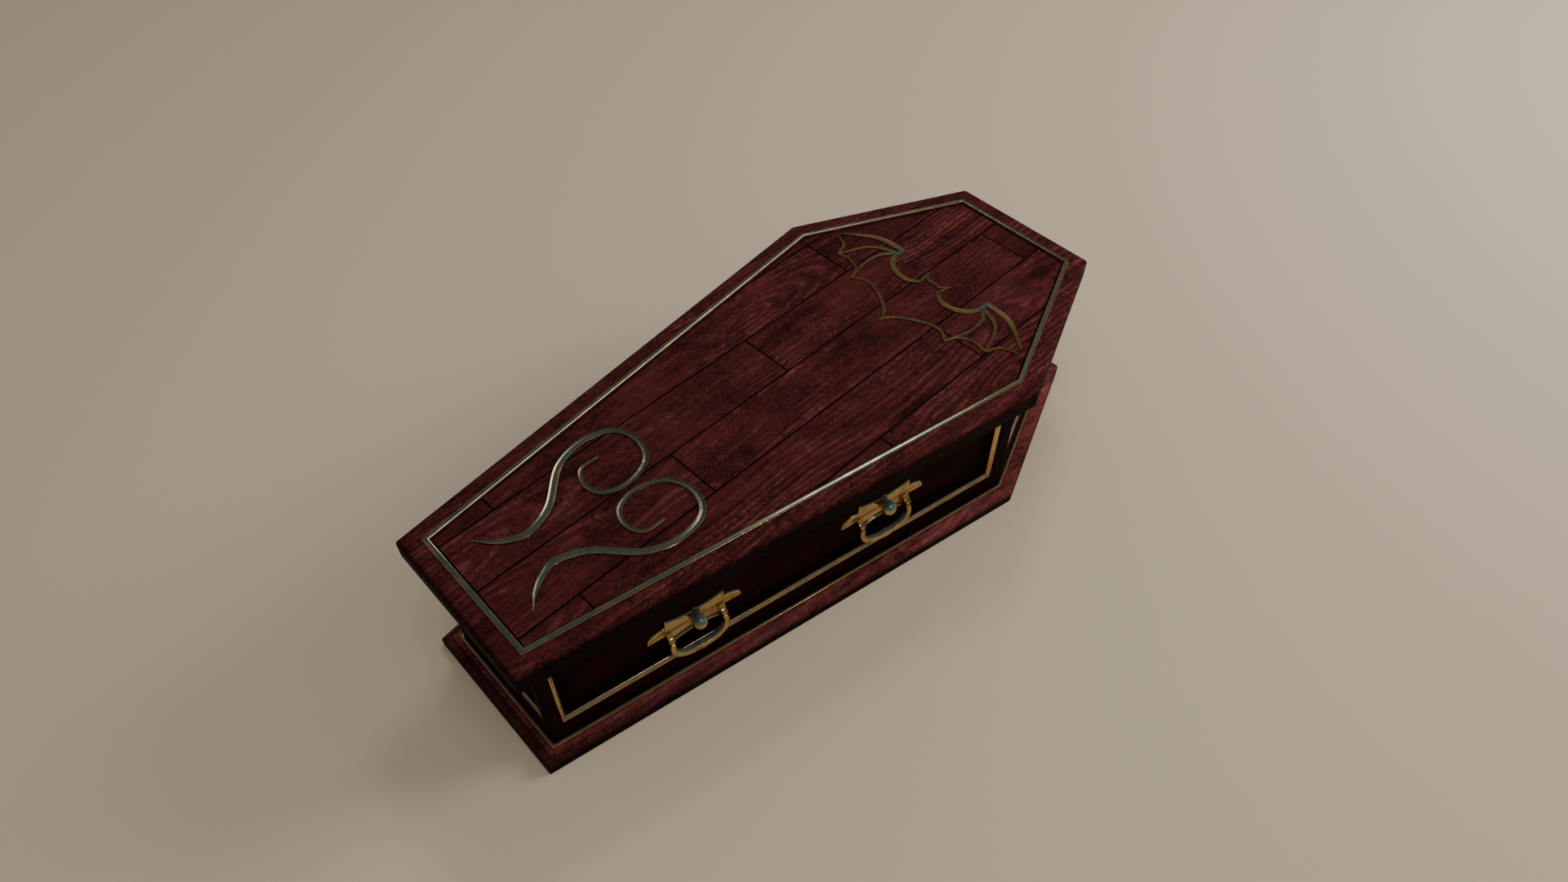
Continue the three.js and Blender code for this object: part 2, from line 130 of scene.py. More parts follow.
# Handles: wall, place along it and height
HANDLES = {
    "left_foot": (0, -0.302, 0.224),
    "left_head": (0, 0.302, 0.252),
    "right_foot": (4, 0.302, 0.224),
    "right_head": (4, -0.302, 0.252),
}
PLATE_THICKNESS = 0.007
PLATE_EASE = 0.0012
PLATE_COVE = 0.0004
LEG_X = 0.087
LEG_DROP = 0.055
WING_ROOT = (0.084, 0.008, -0.031)
WING_THICKNESS = 0.0052
WING_EASE = 0.0046
LIP_HALF_LENGTH = 0.067
LIP_OUT = 0.0082
LIP_HALF_WIDTH = 0.0034
LIP_HALF_DEPTH = 0.0042
BALL_RADIUS = 0.022
BALL_OUT = 0.030
COLLAR_RADIUS = 0.0172
LUG_X = 0.0785
LUG_OUT = 0.0165
LUG_DROP = 0.044
LUG_NOSE = 0.0085
LUG_BACK = 0.0115
LUG_HALF_WIDTH = 0.0025
LUG_EASE = 0.0008
LUG_BORE = 0.0029
LUG_SPREAD = 0.006
CROWN_HALF_WIDTH = 0.0084
CROWN_EASE = 0.0008
BAIL_LEAN = math.radians(10)
BAIL_HALF_WIDTH = 0.081
BAIL_SHOULDER = 0.0096
BAIL_BEND_START = 0.025
BAIL_DROP = 0.0717
BAR_HALF_WIDTH = 0.0082
BAR_HALF_DEPTH = 0.009
KNUCKLE_RISE = 0.0019
KNUCKLE_REACH = 0.0075
TONGUE_RADIUS = 0.007
TONGUE_DROP = 0.014
TONGUE_HALF_WIDTH = 0.003
PIN_RADIUS = 0.0024
PIN_HALF_LENGTH = 0.007

# Painted sky reflection on brass, a grey tint on upward faces in place of the sky they mirror: upward
# part of the normal where it starts and where it is full, and how much
NO_PAINTED_SKY = (0.0, 1.0, 0.0)
FLAT_PAINTED_SKY = (0.70, 0.95, 0.9)
SLOPE_PAINTED_SKY = (-0.05, 0.35, 0.85)
PLATE_PAINTED_SKY = (0.45, 0.80, 0.85)
BALL_PAINTED_SKY = (0.25, 0.55, 0.95)
BAIL_PAINTED_SKY = (0.25, 0.60, 0.70)
BAT_PAINTED_SKY = (0.80, 0.97, 0.9)
LUG_PAINTED_SKY = 0.15
LUG_RUB = 0.4

# Materials
SHARP_ANGLE = math.radians(40)
BUMP_DISTANCE = 0.001
WOOD_BUMP = 0.25
BRASS_BUMP = 0.04
TRIM_BUMP = 0.02
# Near-black for dark plank joints and for painted shade on wood
GRIME_AND_SHADE_COLOUR = (0.002, 0.0006, 0.0006, 1)
RING_RATE = 390
HEART_RATE = 2.8
HEART_SWING = 0.090

# Camera and studio; each light has a place, target, size, power and colour, and whether it shows in
# reflections and lights matt faces
CAMERA_PLACE = (-1.3594, -1.4661, 2.5663)
CAMERA_TARGET = (-0.13656, -0.14975, 0.486)
CAMERA_LENS = 24.444
SENSOR_WIDTH = 36
FLOOR_REACH = 30.0
FLOOR_COLOUR = (0.60, 0.50, 0.38, 1)
HORIZON_COLOUR = (0.42, 0.33, 0.23, 1)
ZENITH_COLOUR = (0.15, 0.20, 0.22, 1)
LIGHTS = {
    "key": ((5.5, 3.8, 10.2), (0, 0, 0.4), 2.8, 195, (1.0, 0.97, 0.92), True, True),
    "top": ((-1.5, -2.0, 8.0), (0, 0, 0.4), 5.0, 170, (1.0, 0.97, 0.93), False, True),
    "side": ((6.0, -2.8, 3.6), (0, 0, 0.3), 3.0, 310, (1.0, 0.94, 0.88), False, True),
    "glint": ((0.1, -3.6, 5.4), (0, -0.45, 0.25), 1.1, 60, (1.0, 0.98, 0.95), True, False),
}


def outward(edges):
    """Unit normals to the right of each edge: the edge direction turned a quarter turn clockwise."""
    unit = edges / np.linalg.norm(edges, axis=1, keepdims=True)
    return np.stack((unit[:, 1], -unit[:, 0]), axis=1)


def plan_base():
    """Corners of the plan and the outward normals of the sides before and after each corner."""
    half = np.array(((-END_X, END_HALF_WIDTH), (SHOULDER_X, SHOULDER_HALF_WIDTH), (END_X, END_HALF_WIDTH)))
    corners = np.concatenate((half * (1, -1), half[::-1]))
    before = outward(corners - np.roll(corners, 1, axis=0))
    after = outward(np.roll(corners, -1, axis=0) - corners)
    return corners, before, after


def hexagon(offset):
    """Each plan corner moved along its mitre: the sum of both normals times the offset, over one plus
    their dot product."""
    corners, before, after = plan_base()
    return corners + (before + after) * offset / (1 + (before * after).sum(axis=1, keepdims=True))


def rounded_hexagon(offset, radius):
    """The offset hexagon with arcs for corners: the corner drawn in by the radius, plus the radius swept
    from one side's normal to the next."""
    _, before, after = plan_base()
    start = np.arctan2(before[:, 1], before[:, 0])
    turn = np.arctan2(after[:, 1], after[:, 0]) - start
    turn = (turn + np.pi) % (2 * np.pi) - np.pi
    angle = start[:, None] + turn[:, None] * np.linspace(0, 1, CORNER_STEPS + 1)
    arc = np.stack((np.cos(angle), np.sin(angle)), axis=-1)
    return (hexagon(offset - radius)[:, None, :] + radius * arc).reshape(-1, 2)


def at_height(loop, z):
    """A flat loop of points lifted to one height."""
    return np.column_stack((loop, np.full(len(loop), z)))


def loft(rings, closed=False, bare_and_lit=None):
    """A closed shell through rings of equal count: quads between neighbours, and a cap on each end
    unless the rings close on themselves; with how bare and lit each point is, lowered for dirt, patina in
    hollows and painted shade."""
    rings = np.asarray(rings, float)
    count, size = rings.shape[:2]
    i = np.arange(count if closed else count - 1)[:, None]
    j = np.arange(size)[None, :]
    here, there = i * size, (i + 1) % count * size
    step = (j + 1) % size
    quads = np.stack((here + j, here + step, there + step, there + j), axis=-1).reshape(-1, 4)
    faces = quads.tolist()
    if not closed:
        last = (count - 1) * size
        faces.append(list(range(size - 1, -1, -1)))
        faces.append(list(range(last, last + size)))
    points = rings.reshape(-1, 3)
    if bare_and_lit is None:
        return points, faces, np.ones(len(points))
    return points, faces, np.broadcast_to(bare_and_lit, (count, size)).reshape(-1)


def gather(shells):
    """Several shells as one: their points in a row, with each shell's faces moved up by the points
    before it."""
    starts = np.cumsum([0] + [len(shell[0]) for shell in shells])
    faces = []
    for start, shell in zip(starts, shells):
        faces += [[index + int(start) for index in face] for face in shell[1]]
    points = np.concatenate([shell[0] for shell in shells])
    return points, faces, np.concatenate([shell[2] for shell in shells])


def smooth_step(value, low, high):
    """0 below low, 1 above high, and 3t^2 - 2t^3 between."""
    t = np.clip((value - low) / (high - low), 0, 1)
    return t * t * (3 - 2 * t)


def add_piece(name, shell, material, node, body="coffin", grain=None, painted_sky=NO_PAINTED_SKY):
    """Makes one finished piece from a shell, in place of a CAD node. Its attributes are how bare and lit
    each point is, 1 where it is free of dirt, patina and painted shade; grain, a wood piece's own
    coordinates;
    and the painted sky reflection, a grey tint on upward brass."""
    points, faces, bare_and_lit = shell
    mesh = bpy.data.meshes.new(name)
    mesh.from_pydata(points.tolist(), [], faces)
    tidy = bmesh.new()
    tidy.from_mesh(mesh)
    bmesh.ops.recalc_face_normals(tidy, faces=tidy.faces)
    tidy.to_mesh(mesh)
    tidy.free()
    mesh.shade_smooth()
    mesh.set_sharp_from_angle(angle=SHARP_ANGLE)
    wear_and_shade = mesh.attributes.new("bare_and_lit", "FLOAT", "POINT")
    wear_and_shade.data.foreach_set("value", bare_and_lit.astype(np.float32))
    if grain is None:
        normals = np.empty(3 * len(mesh.loops), np.float32)
        mesh.corner_normals.foreach_get("vector", normals)
        owners = np.empty(len(mesh.loops), np.int32)
        mesh.loops.foreach_get("vertex_index", owners)
        # Painted sky reflection: the grey tint's share grows with the upward part of each corner's normal
        low, high, most = painted_sky
        share = np.broadcast_to(most, len(points))[owners] * smooth_step(normals[2::3], low, high)
        sky_share = mesh.attributes.new("painted_sky", "FLOAT", "CORNER")
        sky_share.data.foreach_set("value", share.astype(np.float32))
    else:
        lines = mesh.attributes.new("grain", "FLOAT_VECTOR", "POINT")
        lines.data.foreach_set("vector", grain.astype(np.float32).reshape(-1))
    mesh.materials.append(material)
    piece = bpy.data.objects.new(name, mesh)
    bpy.context.scene.collection.objects.link(piece)
    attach(piece, body)
    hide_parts(node)
    return piece


def new_group(name, inputs, outputs):
    """An empty shader node group with named sockets, and its input and output nodes."""
    group = bpy.data.node_groups.new(name, "ShaderNodeTree")
    for label, kind, value in inputs:
        socket = group.interface.new_socket(label, in_out="INPUT", socket_type=kind)
        if value is not None:
            socket.default_value = value
    for label, kind in outputs:
        group.interface.new_socket(label, in_out="OUTPUT", socket_type=kind)
    return group, group.nodes.new("NodeGroupInput"), group.nodes.new("NodeGroupOutput")


class Wires:
    """Short ways to add and join nodes in one tree."""

    def __init__(self, tree):
        self.tree = tree

    def put(self, socket, value):
        """Joins a socket to another, or sets its plain value."""
        if isinstance(value, bpy.types.NodeSocket):
            self.tree.links.new(value, socket)
        else:
            socket.default_value = value

    def math(self, operation, a, b=0.5):
        """One arithmetic step on two values; a step on one value leaves the second as it is."""
        node = self.tree.nodes.new("ShaderNodeMath")
        node.operation = operation
        self.put(node.inputs[0], a)
        self.put(node.inputs[1], b)
        return node.outputs[0]

    def stretch(self, vector, scale):
        """A vector times a scale along each axis."""
        node = self.tree.nodes.new("ShaderNodeVectorMath")
        node.operation = "MULTIPLY"
        self.put(node.inputs[0], vector)
        node.inputs[1].default_value = scale
        return node.outputs[0]

    def noise(self, vector, scale, detail=3.0, rough=0.55, distortion=0.0):
        """Fractal noise, from 0 to 1, on a vector stretched along each axis."""
        node = self.tree.nodes.new("ShaderNodeTexNoise")
        self.put(node.inputs["Vector"], self.stretch(vector, scale))
        node.inputs["Scale"].default_value = 1.0
        node.inputs["Detail"].default_value = detail
        node.inputs["Roughness"].default_value = rough
        node.inputs["Distortion"].default_value = distortion
        return node.outputs["Fac"]

    def span(self, value, low, high, to_low=0.0, to_high=1.0):
        """A value remapped from one range to another with smooth ends."""
        node = self.tree.nodes.new("ShaderNodeMapRange")
        node.interpolation_type = "SMOOTHSTEP"
        self.put(node.inputs["Value"], value)
        node.inputs["From Min"].default_value = low
        node.inputs["From Max"].default_value = high
        node.inputs["To Min"].default_value = to_low
        node.inputs["To Max"].default_value = to_high
        return node.outputs["Result"]

    def blend(self, factor, a, b):
        """Two colours mixed by a factor."""
        node = self.tree.nodes.new("ShaderNodeMix")
        node.data_type = "RGBA"
        self.put(node.inputs["Factor"], factor)
        self.put(node.inputs[6], a)
        self.put(node.inputs[7], b)
        return node.outputs[2]

    def total(self, layers):
        """The sum of values, each times its weight."""
        parts = [self.math("MULTIPLY", value, weight) for value, weight in layers]
        result = parts[0]
        for part in parts[1:]:
            result = self.math("ADD", result, part)
        return result

    def parts(self, vector):
        """The three components of a vector."""
        node = self.tree.nodes.new("ShaderNodeSeparateXYZ")
        self.put(node.inputs[0], vector)
        return node.outputs

    def vector(self, *components):
        """A vector from its three components."""
        node = self.tree.nodes.new("ShaderNodeCombineXYZ")
        for socket, component in zip(node.inputs, components):
            self.put(socket, component)
        return node.outputs[0]


def mahogany_figure():
    """Wood figure on grain coordinates, x along the fibres. Growth rings are waves of the distance from a
    heart line that wanders in and out of the cut, so they run straight or close in arches; over them lie
    soft bands, fibres, pores and smoky stains made of fine specks."""
    inputs = (
        ("Grain", "NodeSocketVector", None),
        ("Bare And Lit", "NodeSocketFloat", 1.0),
        ("Dark", "NodeSocketColor", (0.023, 0.0046, 0.0047, 1)),
        ("Red", "NodeSocketColor", (0.088, 0.0165, 0.0172, 1)),
        ("Light", "NodeSocketColor", (0.194, 0.052, 0.054, 1)),
        ("Smoke", "NodeSocketColor", (0.013, 0.0042, 0.0056, 1)),
        ("Brown", "NodeSocketColor", (0.046, 0.0165, 0.0125, 1)),
        ("Stain", "NodeSocketFloat", 0.6),
    )
    outputs = (
        ("Color", "NodeSocketColor"),
        ("Roughness", "NodeSocketFloat"),
        ("Height", "NodeSocketFloat"),
    )
    group, source, sink = new_group("mahogany_figure", inputs, outputs)
    w = Wires(group)
    grain = source.outputs["Grain"]
    along, across, deep = w.parts(grain)

    # Fibres bent by a slow sway and a quick ripple
    sway = w.math("SUBTRACT", w.noise(grain, (1.5, 2.6, 2.6), 2), 0.5)
    ripple = w.math("SUBTRACT", w.noise(grain, (7, 16, 16), 3), 0.5)
    bent = w.math("ADD", across, w.total(((sway, 0.08), (ripple, 0.011))))
    flow = w.vector(along, bent, deep)
    band = w.noise(flow, (1.5, 42, 14), 2, 0.5)
    thread = w.noise(flow, (2.2, 125, 45), 3, 0.6)

    # Growth rings round the heart line, clear in some places and faint in others
    heart = w.math("MULTIPLY", w.math("SINE", w.math("MULTIPLY", along, HEART_RATE)), HEART_SWING)
    heart = w.math("ADD", heart, w.math("MULTIPLY", sway, 0.10))
    square = w.math("ADD", w.math("MULTIPLY", bent, bent), w.math("MULTIPLY", heart, heart))
    wave = w.math("SINE", w.math("MULTIPLY", w.math("SQRT", square), RING_RATE))
    clear = w.span(w.noise(grain, (1.8, 6, 6), 2), 0.38, 0.62, 0.15, 1.0)
    rings = w.math("MULTIPLY", w.span(wave, -0.5, 1.0), clear)

    fibre = w.noise(grain, (16, 420, 420), 3, 0.6)
    pore = w.span(w.noise(grain, (60, 900, 900), 2, 0.5), 0.62, 0.74)
    cloud = w.noise(grain, (4.5, 8, 8), 4, 0.6, 0.6)
    mottle = w.noise(grain, (45, 62, 62), 5, 0.72, 0.5)
    tone = w.total((
        (rings, 0.24),
        (w.span(band, 0.28, 0.72), 0.20),
        (w.span(thread, 0.30, 0.70), 0.15),
        (w.span(fibre, 0.3, 0.7), 0.08),
        (w.span(cloud, 0.28, 0.72), 0.20),
        (w.span(mottle, 0.30, 0.70), 0.22),
    ))
    colour = w.blend(w.span(tone, 0.15, 0.58), source.outputs["Dark"], source.outputs["Red"])
    colour = w.blend(w.span(tone, 0.50, 0.92), colour, source.outputs["Light"])

    # Brown tint, smoky stains in patches, pores, and near-black where the wood's bare-and-lit value is low:
    # dark plank joints, and painted shade on board sides, edges and corners
    tint = w.span(w.noise(grain, (55, 75, 75), 3, 0.6), 0.42, 0.62, 0.0, 0.35)
    colour = w.blend(tint, colour, source.outputs["Brown"])
    smoke = w.span(w.noise(grain, (18, 26, 26), 8, 0.78, 0.7), 0.46, 0.64)
    speck = w.span(w.noise(grain, (140, 175, 175), 2, 0.6, 0.3), 0.50, 0.63)
    stain = w.math("MAXIMUM", w.math("MULTIPLY", smoke, 0.8), w.math("MULTIPLY", speck, 0.95))
    patch = w.span(w.noise(grain, (4.2, 7, 7), 3, 0.55, 0.4), 0.38, 0.60, 0.15, 1.0)
    stain = w.math("MULTIPLY", w.math("MULTIPLY", stain, patch), source.outputs["Stain"])
    colour = w.blend(stain, colour, source.outputs["Smoke"])
    colour = w.blend(w.math("MULTIPLY", pore, 0.35), colour, source.outputs["Dark"])
    grime_and_shade = w.math("SUBTRACT", 1.0, source.outputs["Bare And Lit"])
    colour = w.blend(grime_and_shade, colour, GRIME_AND_SHADE_COLOUR)
    w.put(sink.inputs["Color"], colour)

    rough = w.math("ADD", 0.52, w.total(((fibre, 0.14), (stain, 0.14))))
    w.put(sink.inputs["Roughness"], rough)
    height = w.math("SUBTRACT", w.math("MULTIPLY", fibre, 0.6), w.math("MULTIPLY", pore, 0.8))
    w.put(sink.inputs["Height"], height)
    return group


def brass_patina():
    """Brass wear on object coordinates: soft tarnish clouds, tarnish and a dark crust in hollows that hands
    don't polish, the same tarnish and crust as painted shade where a piece lowers its bare-and-lit value for
    that, and a grey-green painted sky reflection where its mask says, partly matt."""
    inputs = (
        ("Bare And Lit", "NodeSocketFloat", 1.0),
        ("Painted Sky", "NodeSocketFloat", 0.0),
        ("Matt", "NodeSocketFloat", 0.13),
        ("Sky Matt", "NodeSocketFloat", 0.5),
        ("Clean", "NodeSocketColor", (0.64, 0.43, 0.165, 1)),
        ("Tarnish", "NodeSocketColor", (0.44, 0.25, 0.075, 1)),
        ("Sky Colour", "NodeSocketColor", (0.105, 0.120, 0.100, 1)),
        ("Crust", "NodeSocketColor", (0.05, 0.035, 0.02, 1)),
    )
    outputs = (
        ("Color", "NodeSocketColor"),
        ("Metallic", "NodeSocketFloat"),
        ("Roughness", "NodeSocketFloat"),
        ("Height", "NodeSocketFloat"),
    )
    group, source, sink = new_group("brass_patina", inputs, outputs)
    w = Wires(group)
    place = group.nodes.new("ShaderNodeTexCoord").outputs["Object"]
    cloud = w.noise(place, (22, 22, 22), 5, 0.6, 0.4)
    speck = w.noise(place, (150, 150, 150), 4, 0.6)
    # Low bare-and-lit values: patina in hollows, and painted shade where a piece lowers them for that
    hollow_and_shade = w.math("SUBTRACT", 1.0, source.outputs["Bare And Lit"])
    tarnish = w.math("MAXIMUM", w.span(cloud, 0.40, 0.70), w.span(hollow_and_shade, 0.1, 0.8))
    colour = w.blend(tarnish, source.outputs["Clean"], source.outputs["Tarnish"])
    # Painted sky reflection: grey-green tint on upward faces; its matt share below takes off metal so it
    # shows under diffuse light
    sky_share = w.math("MULTIPLY", source.outputs["Painted Sky"], w.span(cloud, 0.25, 0.60, 0.75, 1.0))
    colour = w.blend(sky_share, colour, source.outputs["Sky Colour"])
    crust = w.span(w.math("ADD", hollow_and_shade, w.math("MULTIPLY", speck, 0.5)), 0.85, 1.35)
    colour = w.blend(crust, colour, source.outputs["Crust"])
    w.put(sink.inputs["Color"], colour)
    matt_sky = w.math("MULTIPLY", sky_share, source.outputs["Sky Matt"])
    w.put(sink.inputs["Metallic"], w.math("SUBTRACT", 1.0, matt_sky))
    wear = w.total(((w.span(cloud, 0.35, 0.75), 0.10), (crust, 0.25)))
    w.put(sink.inputs["Roughness"], w.math("ADD", source.outputs["Matt"], wear))
    w.put(sink.inputs["Height"], w.total(((cloud, 0.7), (speck, 0.12))))
    return group


def finish_material(name, group, attributes, values, bump, settings):
    """A Principled material fed by one group: colour, roughness, height and, for metal, how metallic."""
    material = bpy.data.materials.new(name)
    material.use_nodes = True
    tree = material.node_tree
    shader = tree.nodes["Principled BSDF"]
    figure = tree.nodes.new("ShaderNodeGroup")
    figure.node_tree = group
    for label, value in values.items():
        figure.inputs[label].default_value = value
    for socket, attribute in attributes.items():
        reader = tree.nodes.new("ShaderNodeAttribute")
        reader.attribute_name = attribute
        kind = "Vector" if attribute == "grain" else "Fac"
        tree.links.new(reader.outputs[kind], figure.inputs[socket])
    relief = tree.nodes.new("ShaderNodeBump")
    relief.inputs["Strength"].default_value = bump
    relief.inputs["Distance"].default_value = BUMP_DISTANCE
    tree.links.new(figure.outputs["Height"], relief.inputs["Height"])
    tree.links.new(relief.outputs["Normal"], shader.inputs["Normal"])
    tree.links.new(figure.outputs["Color"], shader.inputs["Base Color"])
    tree.links.new(figure.outputs["Roughness"], shader.inputs["Roughness"])
    if "Metallic" in figure.outputs:
        tree.links.new(figure.outputs["Metallic"], shader.inputs["Metallic"])
    for label, value in settings.items():
        shader.inputs[label].default_value = value
    return material


def aim(thing, place, target):
    """Puts a camera or lamp at a place, looking at a target, in the scene."""
    thing.location = place
    thing.rotation_mode = "QUATERNION"
    thing.rotation_quaternion = (Vector(target) - Vector(place)).to_track_quat("-Z", "Y")
    bpy.context.scene.collection.objects.link(thing)


def make_camera():
    """The photograph's viewpoint: place, target and lens."""
    data = bpy.data.cameras.new("camera")
    data.lens = CAMERA_LENS
    data.sensor_width = SENSOR_WIDTH
    camera = bpy.data.objects.new("camera", data)
    aim(camera, CAMERA_PLACE, CAMERA_TARGET)
    bpy.context.scene.camera = camera


def soft_light(name, place, target, size, power, colour, mirrored, spread):
    """A square soft box that faces a target; a mirrored one shows in reflections, a spread one lights
    matt faces."""
    data = bpy.data.lights.new(name, "AREA")
    data.size = size
    data.energy = power
    data.color = colour
    lamp = bpy.data.objects.new(name, data)
    lamp.visible_glossy = mirrored
    lamp.visible_diffuse = spread
    aim(lamp, place, target)


def make_studio():
    """A pale floor, a sky that goes from warm at the horizon to cool above, and four soft boxes."""
    mesh = bpy.data.meshes.new("floor")
    corners = [(x * FLOOR_REACH, y * FLOOR_REACH, 0) for x, y in ((-1, -1), (1, -1), (1, 1), (-1, 1))]
    mesh.from_pydata(corners, [], [(0, 1, 2, 3)])
    floor = bpy.data.objects.new("floor", mesh)
    bpy.context.scene.collection.objects.link(floor)
    pale = bpy.data.materials.new("pale_floor")
    pale.use_nodes = True
    shader = pale.node_tree.nodes["Principled BSDF"]
    shader.inputs["Base Color"].default_value = FLOOR_COLOUR
    shader.inputs["Roughness"].default_value = 0.85
    mesh.materials.append(pale)
    world = bpy.data.worlds.new("studio")
    world.use_nodes = True
    w = Wires(world.node_tree)
    rise = w.parts(world.node_tree.nodes.new("ShaderNodeTexCoord").outputs["Generated"])[2]
    sky = w.blend(w.span(rise, 0.35, 0.85), HORIZON_COLOUR, ZENITH_COLOUR)
    w.put(world.node_tree.nodes["Background"].inputs["Color"], sky)
    bpy.context.scene.world = world
    for name, light in LIGHTS.items():
        soft_light(name, *light)


def section_bar(half, height, sides, square):
    """Bar section as pairs of across and up: a flat base under a superellipse arch of one squareness."""
    turn = np.linspace(0, np.pi, sides)
    across = half * np.sign(np.cos(turn)) * np.abs(np.cos(turn)) ** (2 / square)
    up = height * np.sin(turn) ** (2 / square)
    return across, up


def bead_loop(offset):
    """The plan hexagon with one more point on each shoulder, close to the head."""
    loop = hexagon(offset)
    near = loop[[2, 3]] + SHADED_HEAD_REACH * (loop[[1, 4]] - loop[[2, 3]])
    return np.concatenate((loop[:2], near[:1], loop[2:4], near[1:], loop[4:]))


def plan_bead(bead, z):
    """A bar section carried round the plan, mitred, with painted shade along the head: each section point is
    an offset of the plan and a rise."""
    low, high, height = bead
    across, up = section_bar((high - low) / 2, height, sides=18, square=2.8)
    middle = (low + high) / 2
    rings = [at_height(bead_loop(middle + a), z + GAP + u) for a, u in zip(across, up)]
    # Painted shade along the head; patina low at the bead's base
    bare_lit_share = np.array((1, 1, 1, 0.1, 0.1, 1, 1, 1))
    return loft(np.stack(rings, axis=1), closed=True, bare_and_lit=bare_lit_share[:, None] * np.clip(up / height, 0, 1))


def round_over(offset, top, radius):
    """Pairs of offset and height on a quarter circle from an upright side to a flat top."""
    turn = np.linspace(0, np.pi / 2, ROUND_STEPS + 1)
    return np.column_stack((offset - radius * (1 - np.cos(turn)), top - radius * (1 - np.sin(turn))))


def plinth_ring(offset, z, dip):
    """The plinth's outline at one offset, with four more points on the foot edge, the middle two lowered
    by a dip."""
    loop = at_height(rounded_hexagon(offset, PLINTH_CORNER), z)
    foot = loop[-1] + (loop[0] - loop[-1]) * np.array(GROOVE_ENDS)[:, None]
    foot[1:3, 2] -= dip
    return np.concatenate((loop, foot))


def make_plinth():
    """Plinth board with a rounded upper edge and a groove along its foot edge, with painted shade low down,
    by the walls and towards the foot, and painted light towards the head; and its brass bead."""
    rounded = round_over(PLINTH_OFFSET, PLINTH_TOP, PLINTH_ROUND)
    inner = GROOVE_OFFSET - GROOVE_WIDTH / 2
    outer = GROOVE_OFFSET + GROOVE_WIDTH / 2
    ease = GROOVE_WIDTH / 5
    profile = [
        (PLINTH_OFFSET - PLINTH_CHAMFER, 0.0, 0.0),
        (PLINTH_OFFSET, PLINTH_CHAMFER, 0.0),
        *((offset, z, 0.0) for offset, z in rounded),
        (outer, PLINTH_TOP, 0.0),
        (outer - ease, PLINTH_TOP, GROOVE_DEPTH),
        (inner + ease, PLINTH_TOP, GROOVE_DEPTH),
        (inner, PLINTH_TOP, 0.0),
        (inner - PLINTH_MARGIN, PLINTH_TOP, 0.0),
        (0.0, PLINTH_TOP, 0.0),
    ]
    # Painted shade: dark low on the side, fading up the rounded edge, and darker by the wall
    bare_lit_share = np.full(len(profile), 1.0)
    bare_lit_share[:2] = 0.0
    bare_lit_share[2 : 2 + len(rounded)] = np.linspace(0.0, 1.0, len(rounded)) ** 0.7
    bare_lit_share[-1] = 0.2
    points, faces, bare_and_lit = loft([plinth_ring(*step) for step in profile], bare_and_lit=bare_lit_share[:, None])
    # Painted shade towards the foot, and painted light that grows towards the head
    shaded_foot = smooth_step(-points[:, 0], END_X + 0.027, END_X + 0.034)
    lit_toward_head = np.interp(points[:, 0], (-1.03, 0.5, 1.03), (0.70, 0.86, 1.0))
    shell = (points, faces, bare_and_lit * lit_toward_head * (1 - 0.6 * shaded_foot))
    add_piece("plinth_board", shell, lit_plinth_wood, "plinth", grain=points + (3.1, 0.4, 0.02))
    bead = plan_bead(PLINTH_BEAD, PLINTH_TOP)
    add_piece("plinth_trim", bead, brass, "plinth_bead", painted_sky=FLAT_PAINTED_SKY)


def make_lid():
    """Lid board with a rounded upper edge, a side darkened with painted shade, and the tray for the planks;
    and its brass bead.
    """
    outside = [
        (LID_OFFSET - LID_EASE, LID_BOTTOM),
        (LID_OFFSET - LID_EASE / 3, LID_BOTTOM + LID_EASE / 3),
        (LID_OFFSET, LID_BOTTOM + LID_EASE),
        *round_over(LID_OFFSET, LID_TOP, LID_ROUND).tolist(),
    ]
    tray = [
        (TRAY_OFFSET + TRAY_ARRIS, LID_TOP),
        (TRAY_OFFSET, LID_TOP - TRAY_ARRIS),
        (TRAY_OFFSET, TRAY_FLOOR),
    ]
    rings = [at_height(rounded_hexagon(offset, LID_CORNER), z) for offset, z in outside]
    rings += [at_height(rounded_hexagon(offset, TRAY_CORNER), z) for offset, z in tray]
    heights = np.array([z for _, z in outside + tray])
    # Painted shade: darker down the side and into the tray
    bare_lit_share = smooth_step(heights, LID_TOP - 0.0165, LID_TOP - 0.0025)
    points, faces, bare_and_lit = loft(rings, bare_and_lit=bare_lit_share[:, None])
    # More painted shade at the foot end
    shaded_foot = smooth_step(-points[:, 0], END_X + 0.040, END_X + 0.056)
    shell = (points, faces, bare_and_lit * (1 - 0.75 * shaded_foot))
    add_piece("lid_slab", shell, polished_wood, "lid_board", grain=points + (0.7, 0.11, -0.40))
    add_piece("lid_trim", plan_bead(LID_BEAD, LID_TOP), trim_brass, "lid_bead", painted_sky=FLAT_PAINTED_SKY)


def wall_axes(side):
    """Middle of a wall's outer face in plan, its direction along, and its direction into the box."""
    face = hexagon(WALL_OFFSET)
    start, end = face[side], face[(side + 1) % 6]
    along = (end - start) / np.linalg.norm(end - start)
    return (start + end) / 2, along, np.array((-along[1], along[0]))


def on_wall(side, local):
    """Wall coordinates (along, into the box, up) turned into the model's frame."""
    middle, along, inward = wall_axes(side)
    local = np.asarray(local, float)
    plan = middle + local[..., :1] * along + local[..., 1:2] * inward
    return np.concatenate((plan, local[..., 2:]), axis=-1)


